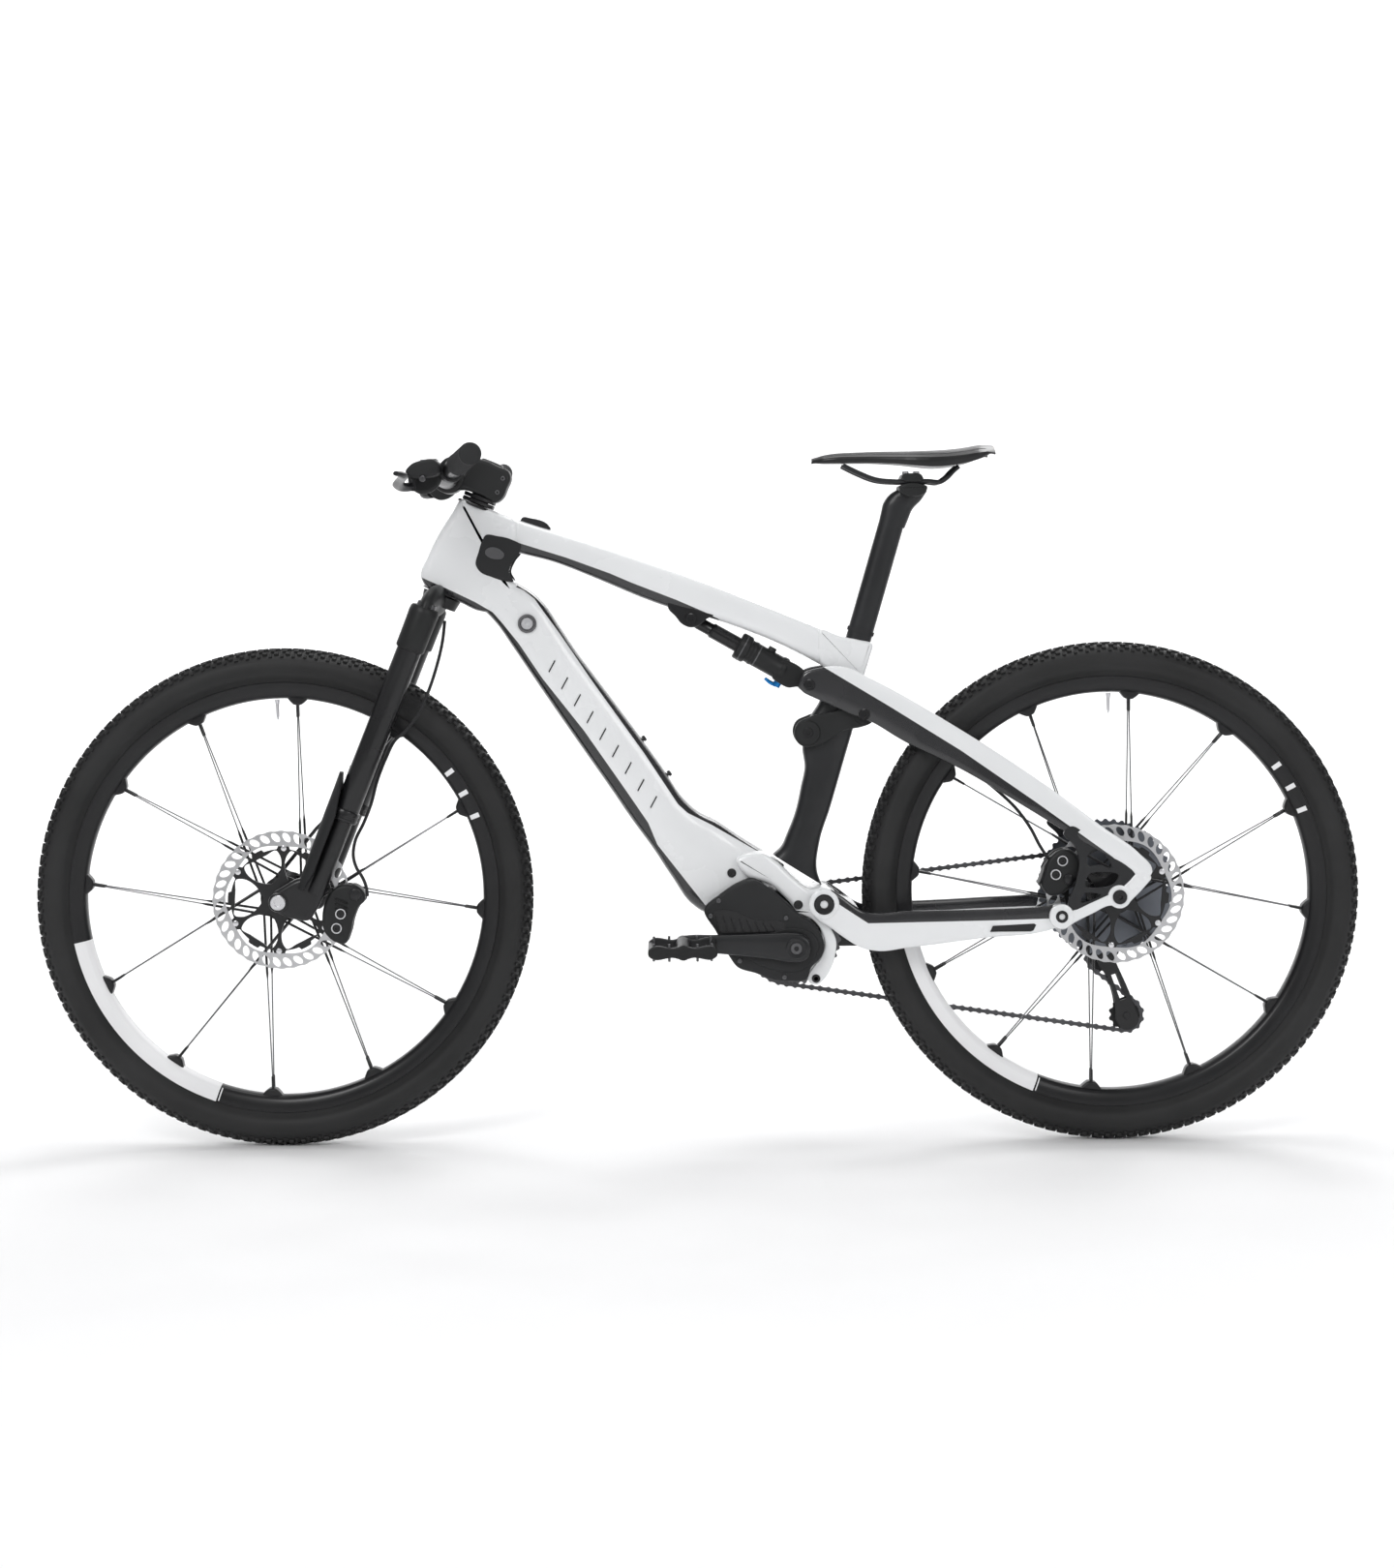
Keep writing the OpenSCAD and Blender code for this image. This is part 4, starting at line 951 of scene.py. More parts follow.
    def brake_disc(self) -> None:
        """Slotted steel ring with a wavy inner edge on a black six-armed carrier with rivets."""
        a = turns(216)
        phase = math.radians(self.disc_phase)
        holes = [polar(self.axle, 80.5 - 2.2 * np.cos(6 * (a - phase)), a)]
        outer = polar(self.axle, 100.9 + 0.6 * np.cos(36 * a), a)
        slot = spline([(-7.4, -1.9), (7.4, -1.9), (8.4, 0), (7.4, 1.9), (-7.4, 1.9), (-8.4, 0)], 14, closed=True)
        for k in range(36):
            t = math.radians(10 * k + 5)
            centre = self.axle[0] + 91.5 * math.cos(t), self.axle[1] + 91.5 * math.sin(t)
            holes.append(self._placed(slot, centre, t + math.radians(42)))
        y = self.disc_y
        pierced(outer, holes, y - 1.0, y + 1.0).build(f"{self.side}_disc_ring", BRUSHED_STEEL, self.body,
                                                      f"{self.side}_disc")
        star = polar(self.axle, np.where(np.cos(12 * (a - phase)) > 0.2, 78.6, 74.5), a)
        window = spline([(67, -27), (68, -10), (68, 10), (67, 27), (60, 28), (31, 9), (27, 0), (31, -9), (60, -28)], 40,
                        closed=True)
        windows = [self._placed(window, self.axle, math.radians(self.disc_phase + 60 * k + 30)) for k in range(6)]
        carrier = pierced(star, [circle(self.axle, 15, 40)] + windows, y - 2.0, y + 1.6)
        carrier.build(f"{self.side}_disc_carrier", SATIN_BLACK, self.body)
        rivet = disc((self.axle[0] + 75.5, self.axle[1]), 4.3, y - 2.6, y + 1.9, 0.8, 20)
        rivet.around(6, self.axle, self.disc_phase).build(f"{self.side}_disc_rivets", SILVER, self.body)

    @staticmethod
    def _placed(outline: np.ndarray, centre: tuple[float, float], angle: float) -> np.ndarray:
        """An outline in x and z turned by an angle and set down about a centre."""
        x, z = outline.T
        return np.column_stack([centre[0] + x * math.cos(angle) - z * math.sin(angle),
                                centre[1] + x * math.sin(angle) + z * math.cos(angle)])


# ---------------------------------------------------------------- front frame


@dataclass
class FrontFrame:
    """The painted front triangle with its motor bay, battery, lock, display and pivots."""

    body: str = "frame"

    def make(self) -> None:
        """Make every piece of the front frame."""
        self.head()
        self.tubes()
        self.bay()
        self.motor()
        self.small_parts()

    def head(self) -> None:
        """Head shell as a rounded slab, the dark inset behind it, and the bearing cups."""
        outline = [(-345, 954), (-318, 945), (-288, 933), (-262, 920), (-258, 900), (-262, 878), (-272, 860),
                   (-276, 843), (-262, 826), (-268, 806), (-290, 788), (-320, 789), (-346, 801), (-372, 813),
                   (-398, 826), (-405, 840), (-394, 871), (-376, 907), (-357, 936)]
        slab(outline, -29, 29, 12, 180).build("head_shell", HEAD_PAINT, self.body, "head_tube")
        inset = [(-309, 900), (-290, 899), (-268, 893), (-257, 886), (-258, 876), (-268, 862), (-274, 846),
                 (-268, 832), (-281, 833), (-300, 839), (-317, 847), (-323, 857), (-319, 875), (-313, 893)]
        panel = slab(inset, -29.9, -28.2, 0.7, 120)
        both_sides(panel).build("head_inset", MATT_PLASTIC, self.body)
        cups = [lathe([(15, z), (29 if z > 600 else 31, z), (30.5 if z > 600 else 32, z + 1), (29.5, z + h - 1),
                       (28.5, z + h), (15, z + h)], (0, 0), 56, closed=True) for z, h in ((502.5, 4.5), (640, 4))]
        join([c.upright().leaned() for c in cups]).build("headset_rings", SATIN_BLACK, self.body, "headset_bearings")

    def tubes(self) -> None:
        """Top tube, down tube and seat tube lofted between their edges, and the seat collar."""
        top = [(-322, 943), (-262, 924), (-219, 910), (-126, 880), (-44, 851), (4, 833), (60, 811), (90, 799),
               (166, 768), (210, 749)]
        low = [(-318, 890), (-262, 874), (-209, 860), (-160, 841), (-127, 827), (-78, 806), (-34, 790), (20, 776),
               (80, 755), (114, 741), (151, 723), (196, 699)]
        loft(top, low, 0, [28.4, 25, 23, 22.8, 22.6, 22.6, 22.8, 23], 3.6, 110, 44).build(
            "top_tube_shell", TOP_PAINT, self.body, "top_tube")
        lug = slab([(-40, 790), (-30, 779), (-21, 768), (-7, 762), (7, 766), (16, 774), (30, 782), (30, 796),
                    (-40, 806)], 13, 20, 2, 80)
        both_sides(lug).build("shock_lugs", SATIN_BLACK, self.body)
        top = [(-318, 868), (-290, 848), (-262, 829), (-240, 815), (-222, 797), (-203, 768), (-176, 727), (-148, 689),
               (-84, 602), (-48, 551), (-19, 508), (2, 489), (29, 475), (60, 454), (103, 427), (128, 410)]
        low = [(-362, 822), (-336, 804), (-312, 788), (-294, 769), (-274, 740), (-250, 704), (-228, 671), (-166, 580),
               (-130, 528), (-95, 476), (-66, 436), (-38, 393), (-8, 352), (12, 340), (40, 352), (92, 366)]
        loft(top, low, 0, [28.6, 30.5, 32, 32, 32, 32, 33, 36], 3.4, 130, 52).build(
            "down_tube_shell", DOWN_PAINT, self.body, "down_tube", "battery_pack")
        front = [(112, 425), (124, 436), (133, 455), (145, 485), (155, 528), (160, 552), (157, 583), (165, 621),
                 (182, 649), (200, 692)]
        back = [(184, 380), (178, 397), (182, 446), (197, 492), (212, 542), (217, 559), (232, 609), (244, 650),
                (247, 690), (248, 694)]
        loft(front, back, 0, [22, 20, 20, 20, 21], 3.2, 80, 40).build("seat_tube_shell", CARBON, self.body, "seat_tube")
        collar = [(186, 759), (204, 752), (221, 746), (240, 742), (261, 735), (257, 717), (251, 698), (247, 688),
                  (222, 690), (198, 694), (187, 703)]
        slab(collar, -24, 24, 6, 120).build("seat_collar_shell", WHITE_PAINT, self.body, "seat_collar")

    def bay(self) -> None:
        """White bracket round the main pivot and the hook behind the motor."""
        web = [(96, 431), (118, 416), (142, 393), (166, 377), (184, 380), (205, 366), (208, 350), (196, 336),
               (170, 335), (150, 340), (132, 360), (106, 384), (70, 398), (56, 420)]
        slab(web, -46, 46, 7, 160).build("motor_bracket", WHITE_PAINT, self.body, "motor_bay")
        hook = [(140, 346), (168, 333), (181, 316), (185, 297), (180, 279), (168, 264), (160, 250), (162, 241),
                (173, 238), (184, 246), (194, 262), (201, 284), (202, 302), (195, 319), (182, 336), (168, 346)]
        join([slab(hook, -49.5, -43, 2, 120), slab(hook, 35, 42, 2, 120)]).build("motor_hooks", WHITE_PAINT, self.body)

    def motor(self) -> None:
        """Motor casing, its side cover with a ribbed window, and the cover's screws."""
        cover = [(9, 352), (30, 371), (54, 387), (80, 394), (102, 383), (129, 361), (148, 343), (166, 331),
                 (179, 314), (184, 296), (179, 280), (164, 264), (158, 248), (135, 245), (113, 246), (84, 257),
                 (56, 267), (45, 282), (26, 318)]
        slab(cover, -66, -49.8, 5, 160).build("motor_side_cover", MATT_PLASTIC, self.body, "motor_cover")
        shell = [(x + (4 if x < 90 else -3), z) for x, z in cover]
        slab(shell, -49.6, 46, 5, 160).build("motor_casing", CAST_BLACK, self.body, "motor_unit")
        window = slab([(22, 346), (30, 350), (86, 336), (127, 328), (127, 318), (90, 317), (34, 316), (27, 328)],
                      -66.7, -65.6, 0.5, 90)
        ribs = [slab([(30 + 11.5 * i, 319), (32.4 + 11.5 * i, 319), (26.4 + 11.5 * i, 343 - 1.9 * i),
                      (24 + 11.5 * i, 343 - 1.9 * i)], -67.6, -66.2, 0.4, 16, smooth=False) for i in range(8)]
        join([window] + ribs).build("cover_window", SATIN_BLACK, self.body)
        step = slab([(56, 306), (70, 284), (112, 262), (150, 262), (172, 284), (176, 300), (166, 316), (140, 324),
                     (100, 316), (70, 314)], -68.4, -65.5, 2.2, 120)
        step.build("cover_boss", MATT_PLASTIC, self.body)
        join([socket(p, 3.4, -68.2, 1.6) for p in ((30, 364), (128, 338), (125, 252), (18, 342), (60, 276))]).build(
            "cover_screws", GREY_METAL, self.body)

    def small_parts(self) -> None:
        """Display, charge flap, lock, pivot bolts and bottle bolts."""
        slab([(-258, 921.6), (-255, 926.5), (-242, 925.5), (-216, 914.5), (-213, 909), (-219, 909)], -14, 14, 1.6,
             80).build("display_housing", SCREEN, self.body, "display_unit")
        port = slab([(-308, 879), (-302, 882.5), (-286, 878.5), (-281, 872), (-284, 866), (-291, 865), (-305, 869),
                     (-309, 873)], -31.0, -29.6, 0.5, 60)
        port.build("charge_flap", GREY_METAL, "charge_port", "charge_port_flap")
        turn = math.atan2(201.0, -148.0)
        length, width = np.array([math.cos(turn), math.sin(turn)]), np.array([math.sin(turn), -math.cos(turn)])
        corners = [length * p * 3.4 + width * q * 11 for p, q in ((-1.5, -0.8), (-0.9, -0.8), (1.5, 0.8), (0.9, 0.8))]
        marks = [slab([tuple(spot + c) for c in corners], -32.9, -32.2, 0.2, 12, smooth=False)
                 for spot in np.linspace([-212.0, 707.0], [-64.0, 506.0], 9)]
        both_sides(*marks).build("down_tube_bars", SATIN_BLACK, self.body)
        lathe([(3.0, -32.5), (3.2, -34.6), (8.4, -34.6), (9, -33.8), (9, -19), (3, -19)], (-248, 770), 40,
              closed=True).build("lock_barrel", SILVER, "lock", "frame_lock")
        lathe([(9.6, -33.6), (10.2, -34.8), (13.2, -34.4), (13.8, -32.4), (9.6, -32.4)], (-248, 770), 48,
              closed=True).build("lock_surround", GREY_METAL, self.body)
        bolts = [socket(ROCKER_PIVOT, 8.6, -33.2), socket(SHOCK_FRONT, 8.4, -27.0), socket((172, 247), 6.2, -52.0)]
        bolts += [socket(p, 6.6, y) for p, y in (((50, 401), -36.5), ((147, 355), -48.8))]
        join(bolts + [b.mirrored() for b in bolts[:2]]).build("frame_bolt_heads", SATIN_BLACK, self.body, "frame_bolts")
        cap = lathe([(2.2, 2), (2.2, 5.2), (3.8, 5.6), (4.5, 4.6), (4.5, 1.0), (2.4, 0.8), (2.4, -12), (1.8, -12.5)],
                    (0, 0), 24)
        a = math.radians(54.6)
        axes = np.array([[[math.cos(a), 0, -math.sin(a)], [0, 1, 0], [math.sin(a), 0, math.cos(a)]]] * 2)
        repeat(cap.upright(), axes, np.array([[-80.0, 0, 596.0], [-43.0, 0, 544.0]])).build(
            "bottle_bolt_heads", SATIN_BLACK, self.body, "bottle_bolts")


# ---------------------------------------------------------------- rear suspension


@dataclass
class RearEnd:
    """Chainstays, seatstays, rocker, shock and what is bolted to them."""

    stays: str = "seatstays"
    lower: str = "chainstays"
    stay_y: float = 85.7
    web_half: float = 2.5
    can_radius: float = 17.2
    body_radius: float = 20.5

    def make(self) -> None:
        """Make every piece of the rear suspension."""
        self.chainstays()
        self.seatstays()
        self.rocker()
        self.shock()

    def chainstays(self) -> None:
        """Two lofted arms, a yoke between them, pivot rings and pivot bolts."""
        top = [(162, 364), (174, 376), (190, 380), (206, 371), (243, 346), (304, 347), (420, 350), (515, 355),
               (530, 357), (542, 350)]
        low = [(163, 350), (172, 336), (192, 323), (214, 307), (240, 292), (262, 288), (305, 293), (410, 307),
               (520, 322), (543, 332)]
        left = loft(top, low, [-56, -57.5, -66, -74, -75.2], [6, 5.4, 5], 4, 90, 32, nose=0.03)
        right = loft(top, low, [43, 46, 59, 72, 75.2], [5.4, 5.4, 5], 4, 90, 32, nose=0.03)
        yoke = slab([(208, 336), (208, 364), (218, 360), (236, 347), (237, 318), (224, 309)], -56, 44, 4, 80)
        join([left, right, yoke]).build("chainstay_arms", CHAINSTAY_PAINT, self.lower, "chainstay")
        dark = slab([(424, 317.5), (428, 326), (488, 329), (491, 327), (487, 319), (483, 317.5)], -80.0, -78.6, 0.4, 60,
                    smooth=False)
        ring = lathe([(15, -63.4), (20, -64.2), (22, -63), (22, -58), (15, -58)], MAIN_PIVOT, 56, closed=True)
        ring.build("pivot_ring", WHITE_PAINT, self.lower)
        cap = lathe([(5.5, -62.6), (6, -65), (13, -65.4), (14.8, -64.2), (14.8, -60), (5.5, -60)], MAIN_PIVOT, 48,
                    closed=True)
        caps = [cap, disc(MAIN_PIVOT, 13, 48.6, 50.0)]
        join([dark] + caps).build("pivot_caps", SATIN_BLACK, self.lower)

    def seatstays(self) -> None:
        """Upper and lower strut of each side, the bridge, the dropout bosses and the pivot bolts."""
        upper = loft([(150, 680), (156, 692), (188, 703), (226, 701), (250, 689), (299, 663), (351, 632), (455, 566),
                      (525, 517), (588, 469), (640, 431), (659, 408), (658, 392)],
                     [(151, 668), (166, 661), (197, 647), (226, 634), (256, 622), (299, 596), (385, 553), (490, 490),
                      (535, 462), (590, 430), (622, 412), (632, 402), (630, 394)],
                     [-38.5, -40, -41, -58, -76, -self.stay_y, -self.stay_y], [5.4, 5.4, 5.4, 5, 4.4], 4, 110, 32,
                     nose=0.02)
        lower = loft([(510, 336), (519, 351), (538, 348), (570, 360), (598, 373), (620, 386), (633, 400), (648, 414)],
                     [(514, 328), (528, 321), (546, 331), (572, 344), (598, 355), (614, 352), (634, 368),
                      (660, 396)], -self.stay_y, 4.3, 4, 90, 32, nose=0.03)
        outer = spline([(546, 350), (598, 369), (622, 388), (634, 401), (618, 418), (571, 452), (540, 470), (531, 462),
                        (548, 440), (553, 415), (548, 390), (540, 352)], 120, closed=True)
        windows = [spline(w, 36, closed=True) for w in (
            [(562, 384), (580, 381), (606, 390), (610, 398), (586, 404), (566, 400)],
            [(566, 414), (584, 414), (600, 410), (598, 418), (572, 436), (566, 430)],
            [(556, 360), (566, 362), (584, 371), (572, 374), (558, 372)])]
        web = pierced(outer, windows, -86 - self.web_half, -86 + self.web_half)
        boss = disc((REAR_AXLE[0], REAR_AXLE[2]), 17, -90.6, -74.5, 2)
        tail = disc(TAIL_PIVOT, 18, -91, -81.2, 2.5)
        bridge = pipe([(309, -44, 641), (309, -20, 643), (309, 20, 643), (309, 44, 641)], 9, 20, count=12)
        join([upper, upper.mirrored(), bridge]).build("seatstay_arms", STAY_PAINT, self.stays, "seatstay")
        both_sides(lower, boss, tail).build("dropout_struts", WHITE_PAINT, self.stays)
        both_sides(web).build("seatstay_webs", CARBON, self.stays)
        bolts = [socket(TAIL_PIVOT, 9, -93.0), socket(LINK_PIVOT, 8.5, -48.6), socket(SHOCK_REAR, 8.5, -47.6)]
        both_sides(*bolts).build("seatstay_bolts", SATIN_BLACK, self.stays)
        axle = lathe([(3.6, -91), (4, -94.4), (9, -94.4), (10.4, -93), (10.4, -90.4), (6, -90.2), (6, 88), (3, 90)],
                     (REAR_AXLE[0], REAR_AXLE[2]), 40)
        axle.build("rear_axle_bolt", SATIN_BLACK, self.stays, "rear_axle_rod")

    def rocker(self) -> None:
        """Two rocker plates with round bosses at both ends."""
        plate = [(144, 604), (149, 620), (164, 628), (212, 640), (232, 649), (246, 651), (260, 645), (265, 633),
                 (258, 620), (244, 614), (222, 610), (182, 588), (166, 584), (150, 590)]
        both_sides(
            slab(plate, -30.4, -20.7, 2.5, 120),
            lathe([(7, -32.4), (17, -32.4), (18.5, -31), (18.5, -22), (7, -22)], ROCKER_PIVOT, 48, closed=True),
            lathe([(9.2, -31.6), (14.5, -31.6), (15.6, -30.4), (15.6, -22), (9.2, -22)], LINK_PIVOT, 48, closed=True),
        ).build("rocker_plates", CAST_BLACK, "rocker", "rocker_links")

    def shock(self) -> None:
        """Shaft, air can, reservoir head and blue lever, turned along the line between the shock's eyes."""
        self._turned([(8, 6.5), (30, 6.5), (36, 11.2), (116, 11.5)]).build("shock_shaft", SATIN_BLACK, "shock_shaft")
        eye = disc(SHOCK_FRONT, 10.5, -12, 12, 1.5)
        stub = self._turned([(6, 8), (14, 9.5), (34, 9.5), (38, 12)])
        join([eye, stub]).build("shock_front_eye", SATIN_BLACK, "shock_shaft", "shock_rod")
        big, small = self.body_radius, self.can_radius
        can = self._turned([(80, 12), (80, 19), (82, big), (95, big), (97.5, 19), (98.2, small), (103, small),
                            (104, 18), (108, 18), (109, small), (148, small), (151, 18.6), (157, 18.6), (160, 17)])
        head = self._boxed([(150, -19), (160, -20), (176, -19), (186, -12), (194, -9), (194, 9), (182, 15), (160, 16),
                            (150, 14)], -15, 15)
        eye2 = disc(SHOCK_REAR, 13, -12, 12, 1.5)
        knob = pipe([self._at(128, 0, 14), self._at(128, 0, 22)], [6.5, 6.0], 20)
        join([can, head, eye2, knob]).build("shock_air_can", CAST_BLACK, "shock_body", "shock_can")
        bands = self._turned([(88, 20.4), (88, 20.9), (90, 20.9), (90, 20.4)])
        bars = self._turned([(112, 17.1), (112, 17.5), (114, 17.5), (114, 17.1)])
        join([bands, bars]).build("shock_can_bands", GREY_METAL, "shock_body")
        hub = pipe([self._at(159, 0, -20), self._at(159, 0, -27)], [6.2, 5.6], 20)
        arm = pipe([self._at(159, 0, -24.5), self._at(150, 0, -25.5), self._at(139, 0, -24)], [3.2, 3.0, 2.2], 14, 0.7,
                   12)
        join([hub, arm]).build("shock_lock_lever", LEVER_BLUE, "shock_switch", "shock_lever")

    @staticmethod
    def _at(along_line: float, y: float, up: float) -> tuple[float, float, float]:
        """A point in the shock's own frame: distance from the front eye, y, and height square to it."""
        a = math.atan2(SHOCK_FRONT[1] - SHOCK_REAR[1], SHOCK_REAR[0] - SHOCK_FRONT[0])
        return (SHOCK_FRONT[0] + along_line * math.cos(a) + up * math.sin(a), y,
                SHOCK_FRONT[1] - along_line * math.sin(a) + up * math.cos(a))

    def _turned(self, profile: Pairs) -> Shell:
        """A part turned about the shock's own line.

        Args:
            profile: distance from the front eye, and radius, of each point.

        Returns:
            The shell. Formula: a point on the line plus the radius times (cos of y and sin of up).
        """
        path = [self._at(d, 0, 0) for d, _ in profile]
        spread = np.asarray(path) + np.arange(len(path))[:, None] * 1e-5
        up = np.array(self._at(0, 0, 1)) - np.array(self._at(0, 0, 0))
        phi = turns(40)
        ring = np.cos(phi)[:, None] * np.array([0, 1.0, 0]) + np.sin(phi)[:, None] * up
        r = np.array([r for _, r in profile])[:, None, None]
        return woven(spread[:, None, :] + r * ring[None], False, True, caps=True)

    def _boxed(self, outline: Pairs, y0: float, y1: float) -> Shell:
        """A rounded slab given in the shock's own frame."""
        return slab([(self._at(d, 0, u)[0], self._at(d, 0, u)[2]) for d, u in outline], y0, y1, 3.5, 100)


# ---------------------------------------------------------------- fork and cockpit


@dataclass
class Fork:
    """Telescopic fork: crown and upper tubes on the steering, legs, guards and brake on the slider."""

    leg_x: float = -11.0
    leg_y: float = 66.0
    leg_radius: float = 15.0
    slider: str = "fork_slider"
    fixed: str = "steering"
    bolts: tuple[tuple[float, float], ...] = ((-522, 349), (-528, 328))

    def make(self) -> None:
        """Make every piece of the fork."""
        self.upper()
        self.lower()
        self.brake()

    def upper(self) -> None:
        """Crown as one arched bar with a socket round each tube, the steerer, tubes and seal rings."""
        arch = pipe([(self.leg_x, -72, 470), (self.leg_x, -66, 482), (-8, -45, 491), (-2, 0, 490), (-8, 45, 491),
                     (self.leg_x, 66, 482), (self.leg_x, 72, 470)], [15, 21, 22, 25, 22, 21, 15], 32, 0.62, 60)
        parts = [arch]
        for s in (-1, 1):
            parts.append(self._on_leg(s, (411, 411.8, 414, 440, 468, 474, 477, 478),
                                      [19.2, 20.6, 21.6, 21.8, 22.4, 21.8, 20, 16]))
        parts.append(pipe([(0, 0, 484), (0, 0, 500), (0, 0, 501), (0, 0, 518), (0, 0, 519), (0, 0, 702)],
                          [26, 29, 19, 19, 14.2, 14.2], 44))
        join(parts).leaned().build("crown_arch", CAST_BLACK, self.fixed, "fork_crown")
        tubes = []
        for s in (-1, 1):
            tubes.append(self._on_leg(s, (161, 162.5, 240, 320, 400, 414), [17.6, 18.4, 18.4, 18.4, 18.4, 18.4]))
            tubes.append(self._on_leg(s, (144.5, 146, 149, 149.5, 154, 154.5, 159, 161, 162),
                                      [19.2, 20.6, 20.9, 20.2, 20.2, 20.9, 20.8, 20, 18]))
        join(tubes).leaned().build("upper_tubes", SATIN_BLACK, self.fixed, "fork_upper_tubes")
        caps = [self._on_leg(s, z, [15, 14.5, 14, 10], 30) for s, z in ((-1, (477, 479, 484, 486)),
                                                                        (1, (477, 479, 483, 484)))]
        join(caps).leaned().build("fork_top_caps", GREY_METAL, self.fixed)

    def _on_leg(self, side: int, heights: tuple[float, ...], radii: float | list[float], sides: int = 44) -> Shell:
        """A turned part round one leg's line, from heights and radii in the fork's own frame."""
        return pipe([(self.leg_x, side * self.leg_y, z) for z in heights], radii, sides)

    def lower(self) -> None:
        """Sliding tubes, forged feet with an eye round the axle, guards and the axle itself."""
        legs = []
        foot = [(-67, 0), (-66, 10), (-60, 19), (-54, 27), (-45, 38), (-34, 48), (-28, 66), (-24, 80), (-2, 80),
                (2, 60), (3, 44), (3, 24), (1, 6), (-4, -9), (-18, -14), (-36, -16), (-54, -14), (-64, -9)]
        for s in (-1, 1):
            legs.append(self._on_leg(s, (30, 60, 150, 290), self.leg_radius, 40))
            legs.append(slab(foot, *span(s, 57, 78), 7, 140))
            legs.append(disc((-54, 0), 14.5, *span(s, 56.5, 79.5), 2))
        join(legs).leaned().build("lower_legs", SATIN_BLACK, self.slider, "fork_lower_legs")
        guards = []
        for s in (-1, 1):
            a = np.radians(np.linspace(112, 248, 18))
            z = np.linspace(30, 209, 40)
            rise = np.interp(z, [30, 60, 120, 150, 190, 209], [24.5, 25, 26, 26.6, 27, 27.5])
            half = np.interp(z, [30, 60, 150, 185, 209], [0.75, 1.0, 1.0, 0.75, 0.35])
            a2 = math.pi + (a - math.pi)[None] * half[:, None]
            walls = [np.stack([self.leg_x + (rise[:, None] + t) * np.cos(a2),
                               s * self.leg_y + (rise[:, None] + t) * np.sin(a2),
                               np.repeat(z[:, None], 18, axis=1)], -1) for t in (2.4, 0.0)]
            guards.append(woven(np.concatenate([walls[0], walls[1][:, ::-1]], axis=1), False, True, caps=True))
        join(guards).leaned().build("leg_guards", MATT_PLASTIC, self.slider, "fork_guards")
        axle = lathe([(5.2, -81.5), (5.6, -84), (10, -84), (11, -83), (11, -79.2), (7.4, -79), (7.4, 77), (4, 79.5)],
                     (-54, 0), 40).leaned()
        axle.build("front_axle_bolt", SILVER, self.slider, "front_axle_rod")

    def brake(self) -> None:
        """Caliper halves with fins and two bolts, and the hose from the crown."""
        outline = [(-549, 350), (-545, 366), (-536, 382), (-520, 391), (-504, 390), (-490, 380), (-486, 370),
                   (-496, 358), (-503, 342), (-508, 321), (-516, 305), (-530, 307), (-545, 320)]
        halves = [slab(outline, -63, -46.3, 5, 120), slab(outline, -39.7, -33.5, 2.5, 120)]
        bridge = slab([(-505, 391), (-490, 382), (-487, 371), (-497, 371), (-505, 380), (-514, 387)], -60, -34, 2, 60)
        fins = [slab([(-530, 372 - 7 * i), (-512, 366 - 7 * i), (-512, 363.5 - 7 * i), (-530, 369.5 - 7 * i)], -65.5,
                     -62, 0.8, 24, smooth=False) for i in range(3)]
        join(halves + [bridge] + fins).build("front_caliper_body", CAST_BLACK, self.slider, "front_caliper")
        join([socket(p, 5.8, -67) for p in self.bolts] + [disc((-500, 377), 8.5, -66, -62, 1.5)]).build(
            "front_caliper_bolts", SATIN_BLACK, self.slider)
        piston_rings(self.bolts, -66).build("front_piston_rings", SILVER, self.slider)
        route = [(20, -40, 468), (28, -46, 440), (34, -50, 400), (36, -52, 360), (34, -54, 325), (27, -55, 300),
                 (17, -56, 280), (14, -56, 250), (14, -55, 215), (18, -54, 180), (18, -53, 150), (16, -52, 120),
                 (22, -52, 98), (33, -52, 84), (44, -52, 76), (54, -52, 66), (62, -51, 52)]
        hose = pipe(route, HOSE_RADIUS, 14, count=90).leaned().build("front_brake_hose", RUBBER, "", "front_hose")
        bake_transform(hose)

    @staticmethod
    def _world(x: float, z: float) -> tuple[float, float]:
        """A point of the fork's frame in the bike's x and z, in metres."""
        return ((STEER_BASE[0] + x * math.cos(LEAN) + z * math.sin(LEAN)) * MM,
                (STEER_BASE[1] - x * math.sin(LEAN) + z * math.cos(LEAN)) * MM)


